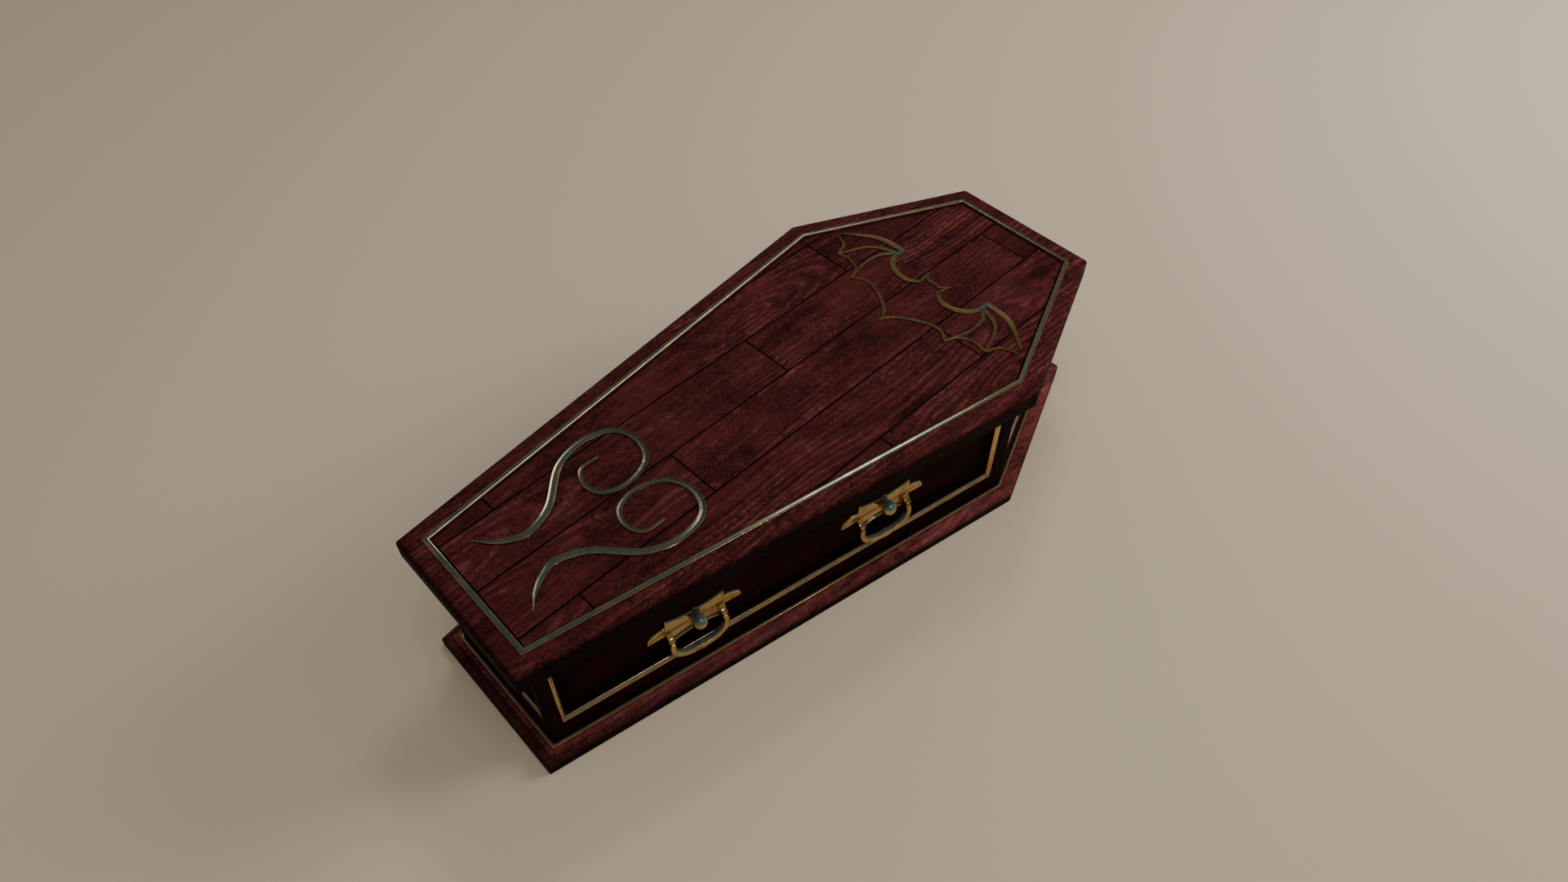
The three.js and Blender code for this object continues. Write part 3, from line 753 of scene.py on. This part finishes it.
def wall_ring(side, inset, rail_inset, depth, mitred=False):
    """A rectangle on a wall drawn in from its edges, at a depth; a mitred one draws in with the depth."""
    middle, along, _ = wall_axes(side)
    corners = hexagon(WALL_OFFSET - (depth if mitred else 0.0))
    low = (corners[side] - middle) @ along + GAP + inset
    high = (corners[(side + 1) % 6] - middle) @ along - GAP - inset
    bottom = PLINTH_TOP + GAP + rail_inset
    top = LID_BOTTOM - GAP - rail_inset
    return np.array(((low, depth, bottom), (high, depth, bottom), (high, depth, top), (low, depth, top)))


def make_wall(side, name):
    """Wall board: back, outer edge, rails, eased bevel and panel as nested rectangles, with painted shade
    at its outer edges and in the crease round the panel.
    """
    end = math.hypot(BEVEL, PANEL_DEPTH)
    slope = np.array((BEVEL, PANEL_DEPTH)) / end
    steps = [
        (0.0, 0.0, WALL_THICKNESS, True),
        (0.0, 0.0, WALL_ARRIS, True),
        (WALL_ARRIS, WALL_ARRIS, 0.0, False),
    ]
    # Painted shade at the outer edges by lid, plinth and corners, and in the crease round the panel
    bare_lit_share = [0.1, 0.1, 0.1]
    for back, run in ((BEVEL_EASE, 0.0), (0.0, BEVEL_EASE)):
        inset = run * slope[0] - back
        steps.append((POST + inset, RAIL + inset, run * slope[1], False))
        bare_lit_share.append(0.9)
    for run, past, bare_and_lit in ((end - BEVEL_EASE, 0.0, 0.15), (end, BEVEL_EASE, 0.15), (end, PANEL_MARGIN, 0.9)):
        inset = run * slope[0] + past
        steps.append((POST + inset, RAIL + inset, min(run * slope[1], PANEL_DEPTH), False))
        bare_lit_share.append(bare_and_lit)
    rings = np.stack([wall_ring(side, *step) for step in steps])
    points, faces, bare_and_lit = loft(rings, bare_and_lit=np.array(bare_lit_share)[:, None])
    grain = points[:, (0, 2, 1)] + (1.7 * side, 0.31 * side, 0.05)
    shell = (on_wall(side, points), faces, bare_and_lit)
    add_piece(f"board_{name}", shell, shaded_wood, f"wall_{name}", grain=grain)


def make_strip(side, name):
    """Brass strip on a wall's bevel: a bar section carried round the bevel, square to its slope."""
    end = math.hypot(BEVEL, PANEL_DEPTH)
    slope = np.array((BEVEL, PANEL_DEPTH)) / end
    start, stop, height = FRAME_STRIP
    across, up = section_bar((stop - start) / 2 * end, height, sides=14, square=3.4)
    middle = (start + stop) / 2 * end
    lines = []
    for a, u in zip(across, up):
        inset = (middle + a) * slope[0] + (u + GAP) * slope[1]
        depth = (middle + a) * slope[1] - (u + GAP) * slope[0]
        lines.append(wall_ring(side, POST + inset, RAIL + inset, depth))
    bare_lit_share = np.clip(up / height, 0, 1)
    points, faces, bare_and_lit = loft(np.stack(lines, axis=1), closed=True, bare_and_lit=bare_lit_share[None, :])
    shell = (on_wall(side, points), faces, bare_and_lit)
    add_piece(f"strip_{name}", shell, brass, f"frame_{name}", painted_sky=SLOPE_PAINTED_SKY)


def clip_band(outline, direction, low, high):
    """The part of a convex outline between two distances along a direction, cut on one side and then the
    other."""
    for normal, limit in ((direction, high), (-direction, -low)):
        if len(outline) < 3:
            return outline
        reach = outline @ normal - limit
        after = np.roll(reach, -1)
        share = np.divide(reach, reach - after, out=np.zeros_like(reach), where=reach != after)
        cut = outline + (np.roll(outline, -1, axis=0) - outline) * share[:, None]
        slots = np.stack((outline, cut), axis=1).reshape(-1, 2)
        keep = np.stack((reach <= 0, reach * after < 0), axis=1).reshape(-1)
        outline = slots[keep]
    return outline


def draw_in(outline, distance):
    """A convex outline with every side moved in by one distance: corners slide along their mitres."""
    before = outward(outline - np.roll(outline, 1, axis=0))
    after = outward(np.roll(outline, -1, axis=0) - outline)
    return outline - (before + after) * distance / (1 + (before * after).sum(axis=1, keepdims=True))


def add_plank(number, outline, along, across, middle):
    """One plank with eased upper edges, its own cut of the grain and its own shade."""
    rings = [
        at_height(outline, TRAY_FLOOR + GAP),
        at_height(outline, PLANK_TOP - ARRIS),
        at_height(draw_in(outline, 0.35 * ARRIS), PLANK_TOP - 0.35 * ARRIS),
        at_height(draw_in(outline, ARRIS), PLANK_TOP),
        at_height(draw_in(outline, 2.5 * ARRIS), PLANK_TOP),
    ]
    shade = 1 - 0.035 * ((number * 3) % 5)
    shell = loft(rings, bare_and_lit=shade * np.array((0.0, 0.0, 0.05, 0.3, 1.0))[:, None])
    flat = shell[0][:, :2]
    cut = (0.37 * number, 0.035 * ((number * 5) % 7 - 3), -0.36 + 0.011 * ((number * 3) % 5))
    grain = np.column_stack((flat @ along, flat @ across - middle, shell[0][:, 2])) + cut
    add_piece(f"plank_{number:02d}", shell, polished_wood, f"lid_plank_{number:02d}", grain=grain)


def make_planks():
    """Rows of planks with staggered joints, clipped to the tray."""
    along = np.array((math.cos(PLANK_SKEW), math.sin(PLANK_SKEW)))
    across = np.array((-along[1], along[0]))
    length = 3 * JOINT_STEP
    number = 0
    for row in range(PLANK_ROWS):
        edge = FIRST_ROW + row * PLANK_WIDTH
        strip = clip_band(hexagon(PLANK_OFFSET), across, edge + SEAM / 2, edge + PLANK_WIDTH - SEAM / 2)
        for run in (-2, -1, 0):
            joint = FIRST_JOINT + (row % 3) * JOINT_STEP + run * length
            outline = clip_band(strip, along, joint + SEAM / 2, joint + length - SEAM / 2)
            if len(outline) >= 3:
                number += 1
                add_plank(number, outline, along, across, (row + 0.5) * PLANK_WIDTH + FIRST_ROW)


def smooth_line(points, count):
    """A uniform Catmull-Rom curve through points, with mirrored end points, and its unit tangents."""
    knots = np.asarray(points, float)
    padded = np.concatenate((2 * knots[:1] - knots[1:2], knots, 2 * knots[-1:] - knots[-2:-1]))
    run = np.linspace(0, len(knots) - 1, count)
    piece = np.minimum(run.astype(int), len(knots) - 2)
    t = (run - piece)[:, None]
    a, b, c, d = (padded[piece + k] for k in range(4))
    place = 0.5 * (2 * b + (c - a) * t + (2 * a - 5 * b + 4 * c - d) * t**2 + (3 * b - a - 3 * c + d) * t**3)
    slope = np.gradient(place, axis=0)
    return place, slope / np.linalg.norm(slope, axis=1, keepdims=True)


def ridge(points, mirror, widths, square, dish):
    """A bar laid along a curve on the planks: a squarish arch scaled by the width, thinner where narrow,
    its top dished by a share of the rise that fades as the square of the way to the edge."""
    place, along = smooth_line(np.asarray(points) / 1000 * (1, mirror), len(widths))
    half = np.asarray(widths) / 2000
    rise = np.minimum(INLAY_HEIGHT, 0.9 * half)
    lean = np.linspace(-1, 1, 25)
    across = np.sign(lean) * (1 - (1 - np.abs(lean)) ** 1.6)
    up = (1 - np.abs(across) ** square) ** (1 / square) * (1 - dish * (1 - across**2))
    side = np.stack((-along[:, 1], along[:, 0]), axis=1)
    plan = place[:, None, :] + half[:, None, None] * across[None, :, None] * side[:, None, :]
    z = PLANK_TOP + GAP + rise[:, None] * up[None, :]
    return loft(np.concatenate((plan, z[..., None]), axis=-1), bare_and_lit=up[None, :])


def bowed(widths, count):
    """Widths along a stroke: straight from start to end, plus a parabola to the middle width."""
    start, middle, end = widths
    run = np.linspace(0, 1, count)
    return start + (end - start) * run + 4 * run * (1 - run) * (middle - (start + end) / 2)


def make_scrolls():
    """Brass scrolls that swell from the tail and taper to the curl, darkened round the outer curl with
    painted shade that dims the key light's reflection there, and with less painted sky reflection at the
    curl's end."""
    tail, belly, curl = SCROLL_WIDTHS
    run = np.linspace(0, 1, SCROLL_STEPS)
    swell = np.sin(np.clip(run / SCROLL_BELLY, 0, 1) * np.pi / 2)
    taper = np.clip((run - SCROLL_BELLY) / (1 - SCROLL_BELLY), 0, 1) ** 1.5
    widths = (tail + (belly - tail) * swell) * (1 - taper) + curl * taper
    # Painted shade round the outer curl: tarnish and crust dim the key light's reflection there
    bare_lit_share = 1 - 0.8 * smooth_step(run, 0.42, 0.52) + 0.2 * smooth_step(run, 0.72, 0.84)
    sky_share = FLAT_PAINTED_SKY[2] * (1 - 0.6 * smooth_step(run, 0.80, 0.96))
    for name, mirror in (("left", -1), ("right", 1)):
        points, faces, bare_and_lit = ridge(SCROLL_POINTS, mirror, widths, 8.0, 0.46)
        ring = len(points) // SCROLL_STEPS
        shell = (points, faces, bare_and_lit * np.repeat(bare_lit_share, ring))
        painted_sky = (*FLAT_PAINTED_SKY[:2], np.repeat(sky_share, ring))
        add_piece(f"inlay_scroll_{name}", shell, trim_brass, f"scroll_{name}", painted_sky=painted_sky)


def make_bat():
    """The outlined bat in brass strokes, with a painted sky reflection round its wrists: a bell curve of
    the distance.
    """
    shells = []
    for mirror in (-1, 1):
        shells += [ridge(line, mirror, bowed(widths, BAT_STEPS), 5.0, 0.7) for line, widths in BAT_STROKES]
    shell = gather(shells)
    x, y, _ = shell[0].T
    from_wrist = np.hypot(x - WRIST[0], np.abs(y) - WRIST[1])
    sky_share = BAT_PAINTED_SKY[2] * np.exp(-((from_wrist / WRIST_REACH) ** 2))
    add_piece("inlay_bat", shell, shaded_dull_brass, "bat", painted_sky=(*BAT_PAINTED_SKY[:2], sky_share))


def bend(start, control, end, count):
    """Points on a quadratic curve, given in millimetres: the weights (1-t)^2, 2t(1-t) and t^2 on its
    three points."""
    t = np.linspace(0, 1, count)[:, None]
    points = (1 - t) ** 2 * np.array(start) + 2 * t * (1 - t) * np.array(control) + t**2 * np.array(end)
    return points / 1000


def plate_columns():
    """Upper and lower edge of the plate's right half, column by column from the middle to the wing's tip."""
    crest = np.concatenate((bend((0, 27), (4, 27), (9, 21), 12), bend((9, 21), (50, 21), (88, 37), 30)))
    arch = np.concatenate((bend((0, -42), (42, -42), (70, -55), 24), ((LEG_X, -LEG_DROP),)))
    x = np.concatenate((np.linspace(0, 0.012, 9), np.linspace(0.016, LEG_X, 20)))
    main = np.stack((x, np.interp(x, *crest.T), np.interp(x, *arch.T)), axis=1)
    feather = bend((92, 8), (128, 5), (138, -13), 14)
    tip = bend((138, -13), (141, -20), (141, -31), 6)
    x, top = np.concatenate((feather, tip[1:])).T
    outer = np.stack((x, top, np.minimum(WING_ROOT[2], top)), axis=1)
    return main, np.concatenate((np.array((WING_ROOT,)), outer))


def plate_section(columns, thickness, ease, cove):
    """Sections up each column: eased lower edge, a front with a shallow cove across it, eased upper edge,
    flat back."""
    x, top, bottom = columns.T
    tall = top - bottom
    edge = np.minimum(ease, tall / 2 - 1e-6)[:, None]
    near = np.array((0.0, 0.08, 0.3, 0.65, 1.0))
    lift = edge * np.sqrt(1 - (1 - near) ** 2) - edge
    share = np.linspace(0, 1, 13)[1:-1]
    inner = edge + (tall[:, None] - 2 * edge) * share
    up = np.concatenate((edge * near, inner, tall[:, None] - edge * near[::-1]), axis=1)
    bowl = np.exp(-(((share - 0.50) / 0.14) ** 2))
    front = np.broadcast_to(-cove * bowl, inner.shape)
    out = np.concatenate((lift, front, lift[:, ::-1]), axis=1) + thickness
    out = np.concatenate((out, np.zeros((len(x), 2))), axis=1) + GAP
    z = np.concatenate((bottom[:, None] + up, top[:, None], bottom[:, None]), axis=1)
    rings = np.stack((np.broadcast_to(x[:, None], z.shape), -out, z), axis=-1)
    # Painted shade: tarnish across the middle of the cove, a dark band across the plate
    bare_and_lit = np.concatenate((np.ones(5), 1 - 0.8 * bowl, np.ones(5), np.zeros(2)))
    return rings, bare_and_lit


def plate_shells():
    """Back plate: the body from leg to leg, and a thinner wing on each side of it."""
    main, outer = plate_columns()
    both = np.concatenate((main[:0:-1] * (-1, 1, 1), main))
    body, bare_and_lit = plate_section(both, PLATE_THICKNESS, PLATE_EASE, PLATE_COVE)
    shells = [loft(body, bare_and_lit=bare_and_lit[None, :])]
    wing, bare_and_lit = plate_section(outer, WING_THICKNESS, WING_EASE, PLATE_COVE)
    shells += [loft(wing * (mirror, 1, 1), bare_and_lit=bare_and_lit[None, :]) for mirror in (-1, 1)]
    return shells


def upright_bar(path, half_width, half_depth, sides, square):
    """A bar in an upright plane: a superellipse section square to the path, its width in the plane."""
    slope = np.gradient(path, axis=0)
    along = slope / np.linalg.norm(slope, axis=1, keepdims=True)
    along[0] = np.round(along[0])
    along[-1] = np.round(along[-1])
    turn = np.linspace(0, 2 * np.pi, sides, endpoint=False)
    power = 2 / square
    across = np.sign(np.cos(turn)) * np.abs(np.cos(turn)) ** power
    deep = np.sign(np.sin(turn)) * np.abs(np.sin(turn)) ** power
    reach = np.asarray(half_width)[:, None] * across
    x = path[:, :1] - reach * along[:, 1:]
    z = path[:, 1:] + reach * along[:, :1]
    y = np.asarray(half_depth)[:, None] * deep
    return np.stack((x, y, z), axis=-1)


def lip_shell():
    """Raised lip along the plate's arch: a round bar on a parabola."""
    x = np.linspace(-LIP_HALF_LENGTH, LIP_HALF_LENGTH, 33)
    z = -0.043 - 0.0112 * (x / 0.066) ** 2
    width = np.full(len(x), LIP_HALF_WIDTH)
    depth = np.full(len(x), LIP_HALF_DEPTH)
    bar = upright_bar(np.stack((x, z), axis=1), width, depth, sides=14, square=2.2)
    return loft(bar + (0, -LIP_OUT, 0))


def about_pin(x, loop):
    """A loop of pairs of out and up, about a lug's pin, set at one place across the plate."""
    out, up = loop.T
    return np.column_stack((np.full(len(loop), x), -(out + LUG_OUT), up - LUG_DROP))


def lug_shell(x):
    """One cheek of a lug: a block with a round nose, eased edges and a round hole, carried round the
    hole's axis."""
    nose = np.linspace(-np.pi / 2, np.pi / 2, 17)
    arc = LUG_NOSE * np.stack((np.cos(nose), np.sin(nose)), axis=1)
    root = np.array([(-LUG_BACK, up) for up in (LUG_NOSE, 0.0, -LUG_NOSE)])
    outline = np.concatenate((arc, root))
    unit = outline / np.linalg.norm(outline, axis=1, keepdims=True)
    eased = outline - LUG_EASE * unit
    bore = LUG_BORE * unit
    inside = LUG_HALF_WIDTH - LUG_EASE
    steps = (
        (eased, -LUG_HALF_WIDTH), (outline, -inside), (outline, inside),
        (eased, LUG_HALF_WIDTH), (bore, LUG_HALF_WIDTH), (bore, -LUG_HALF_WIDTH),
    )
    return loft(np.stack([about_pin(x + shift, loop) for loop, shift in steps], axis=1), closed=True)


def crown_shell(x):
    """Solid crown over one lug: a ramp from the plate to the lug's nose, hollowed to clear the bail's
    tongue, carried across both cheeks with eased sides; its outline is in millimetres from the pin."""
    ramp = ((-11, 24), (-9.2, 23.6), (-7.4, 19), (-5, 15.2), (-2, 12.2), (1.6, 10), (5, 8.7))
    clear = ((5, 8), (0, 7.4), (-3.7, 6.4), (-6.4, 3.7), (-7.4, 0), (-9, -1), (-11, -1))
    outline = np.array(ramp + clear) / 1000
    middle = outline.mean(axis=0)
    small = middle + (outline - middle) * 0.93
    inside = CROWN_HALF_WIDTH - CROWN_EASE
    steps = ((small, -CROWN_HALF_WIDTH), (outline, -inside), (outline, inside), (small, CROWN_HALF_WIDTH))
    return loft([about_pin(x + shift, loop) for loop, shift in steps])


def ball_shell():
    """Ball on a low collar, turned about the way out of the wall: radius and height of each turn of the
    profile."""
    base = PLATE_THICKNESS + 2 * GAP
    collar = np.array((
        (0.0, base),
        (COLLAR_RADIUS - 0.0007, base),
        (COLLAR_RADIUS, base + 0.0008),
        (COLLAR_RADIUS, base + 0.0024),
        (COLLAR_RADIUS - 0.0012, base + 0.0034),
    ))
    turn = np.linspace(-0.98, np.pi / 2, 30)
    dome = np.stack((BALL_RADIUS * np.cos(turn), BALL_OUT + BALL_RADIUS * np.sin(turn)), axis=1)
    radius, out = np.concatenate((collar, dome)).T
    spin = np.linspace(0, 2 * np.pi, 48, endpoint=False)
    x = radius[:, None] * np.cos(spin)
    z = radius[:, None] * np.sin(spin)
    rings = np.stack((x, np.broadcast_to(-out[:, None], x.shape), z), axis=-1)
    bare_and_lit = np.clip((out - base) / 0.012, 0, 1)
    return loft(rings, bare_and_lit=bare_and_lit[:, None])


def bail_shells():
    """Bail hanging from the pins' axis: a squared U of bar with a knuckle at its middle, and a tongue and
    a pin at each end."""
    turn = np.linspace(0, np.pi, 61)
    x = -BAIL_HALF_WIDTH * np.sign(np.cos(turn)) * np.abs(np.cos(turn)) ** 0.8
    z = -BAIL_BEND_START - (BAIL_DROP - BAIL_BEND_START) * np.abs(np.sin(turn)) ** 0.8
    ends = np.array(((-LUG_X, -BAIL_SHOULDER), (-LUG_X - 0.001, -0.017)))
    path = np.concatenate((ends, np.stack((x, z), axis=1), ends[::-1] * (-1, 1)))
    knuckle = KNUCKLE_RISE * np.exp(-((path[:, 0] / KNUCKLE_REACH) ** 2))
    width = BAR_HALF_WIDTH + knuckle
    depth = BAR_HALF_DEPTH + 0.6 * knuckle
    shells = [loft(upright_bar(path, width, depth, sides=32, square=4.2))]
    nose = np.linspace(0, np.pi, 13)
    arc = TONGUE_RADIUS * np.stack((np.cos(nose), np.sin(nose)), axis=1)
    foot = np.array(((-TONGUE_RADIUS, -TONGUE_DROP), (TONGUE_RADIUS, -TONGUE_DROP)))
    tongue = np.concatenate((arc, foot))
    spin = np.linspace(0, 2 * np.pi, 16, endpoint=False)
    pin = PIN_RADIUS * np.stack((np.cos(spin), np.sin(spin)), axis=1)
    for centre in (-LUG_X, LUG_X):
        for loop, half in ((tongue, TONGUE_HALF_WIDTH), (pin, PIN_HALF_LENGTH)):
            rings = [np.column_stack((np.full(len(loop), centre + shift), loop)) for shift in (-half, half)]
            shells.append(loft(rings))
    return shells


def make_handle(name, side, along, height):
    """One handle on a long wall: back plate with lip and lugs, ball, and the bail leaning out from its
    pins."""
    origin = np.array((along, PANEL_DEPTH, height))
    backing = plate_shells() + [lip_shell()]
    lugs = []
    for place in (-LUG_X, LUG_X):
        lugs += [lug_shell(place + shift) for shift in (-LUG_SPREAD, LUG_SPREAD)]
    lugs += [crown_shell(place) for place in (-LUG_X, LUG_X)]
    points, faces, bare_and_lit = gather(backing + lugs)
    flat = np.arange(len(points)) < sum(len(shell[0]) for shell in backing)
    # Painted sky reflection on the plate, weaker on the lugs
    painted_sky = (*PLATE_PAINTED_SKY[:2], np.where(flat, PLATE_PAINTED_SKY[2], LUG_PAINTED_SKY))
    plate = (on_wall(side, points + origin), faces, np.where(flat, bare_and_lit, LUG_RUB))
    add_piece(f"handle_{name}_plate", plate, handle_brass, f"plate_{name}", painted_sky=painted_sky)

    points, faces, bare_and_lit = ball_shell()
    ball = (on_wall(side, points + origin), faces, bare_and_lit)
    add_piece(f"handle_{name}_ball", ball, handle_brass, f"ball_{name}", painted_sky=BALL_PAINTED_SKY)

    points, faces, bare_and_lit = gather(bail_shells())
    x, y, z = points.T
    lean_y = y * math.cos(BAIL_LEAN) + z * math.sin(BAIL_LEAN) - LUG_OUT
    lean_z = z * math.cos(BAIL_LEAN) - y * math.sin(BAIL_LEAN) - LUG_DROP
    bail = (on_wall(side, np.stack((x, lean_y, lean_z), axis=1) + origin), faces, bare_and_lit)
    node = f"bail_{name}"
    add_piece(f"handle_{name}_bail", bail, handle_brass, node, body=node, painted_sky=BAIL_PAINTED_SKY)


make_camera()
make_studio()
wood_group = mahogany_figure()
wood_inputs = {"Grain": "grain", "Bare And Lit": "bare_and_lit"}
polished_wood = finish_material(
    "polished_mahogany", wood_group, wood_inputs, {"Stain": 0.95}, WOOD_BUMP, {"Specular IOR Level": 0.03},
)
# Painted light: a lighter copy of the mahogany for the plinth, lit where the lid would shade it
lit_plinth_wood = finish_material(
    "lit_plinth_mahogany", wood_group, wood_inputs,
    {
        "Dark": (0.053, 0.0113, 0.0114, 1),
        "Red": (0.240, 0.056, 0.057, 1),
        "Light": (0.49, 0.162, 0.169, 1),
        "Smoke": (0.035, 0.0113, 0.0133, 1),
        "Brown": (0.128, 0.0505, 0.0386, 1),
    },
    WOOD_BUMP, {"Specular IOR Level": 0.06},
)
# Painted shade: a darker copy of the mahogany for the walls, which stand in the lid's shade
shaded_wood = finish_material(
    "shaded_mahogany", wood_group, wood_inputs,
    {
        "Dark": (0.005, 0.001, 0.001, 1),
        "Red": (0.017, 0.0032, 0.0031, 1),
        "Light": (0.042, 0.009, 0.0088, 1),
        "Smoke": (0.004, 0.0013, 0.0014, 1),
        "Brown": (0.012, 0.0042, 0.0032, 1),
    },
    WOOD_BUMP, {"Specular IOR Level": 0.03},
)
brass_group = brass_patina()
# Each brass below sets its painted sky reflection: the tint's colour and its matt share
brass_inputs = {"Bare And Lit": "bare_and_lit", "Painted Sky": "painted_sky"}
brass = finish_material("worn_brass", brass_group, brass_inputs, {}, BRASS_BUMP, {})
trim_brass = finish_material(
    "trim_brass", brass_group, brass_inputs,
    {
        "Sky Matt": 0.12,
        "Tarnish": (0.26, 0.17, 0.065, 1),
        "Sky Colour": (0.110, 0.130, 0.113, 1),
    },
    TRIM_BUMP, {},
)
handle_brass = finish_material(
    "handle_brass", brass_group, brass_inputs,
    {
        "Sky Matt": 0.7,
        "Clean": (0.54, 0.385, 0.16, 1),
        "Tarnish": (0.34, 0.18, 0.05, 1),
        "Sky Colour": (0.072, 0.148, 0.156, 1),
    },
    BRASS_BUMP, {},
)
# Painted shade: a darker, rougher copy of the brass for the bat, for its dim reflection
shaded_dull_brass = finish_material(
    "shaded_dull_brass", brass_group, brass_inputs,
    {
        "Matt": 0.42,
        "Clean": (0.26, 0.175, 0.072, 1),
        "Tarnish": (0.12, 0.078, 0.033, 1),
        "Sky Colour": (0.04, 0.075, 0.080, 1),
    },
    BRASS_BUMP, {},
)
make_plinth()
make_lid()
for index, wall in enumerate(WALL_NAMES):
    make_wall(index, wall)
    make_strip(index, wall)
make_planks()
make_scrolls()
make_bat()
for handle, place in HANDLES.items():
    make_handle(handle, *place)
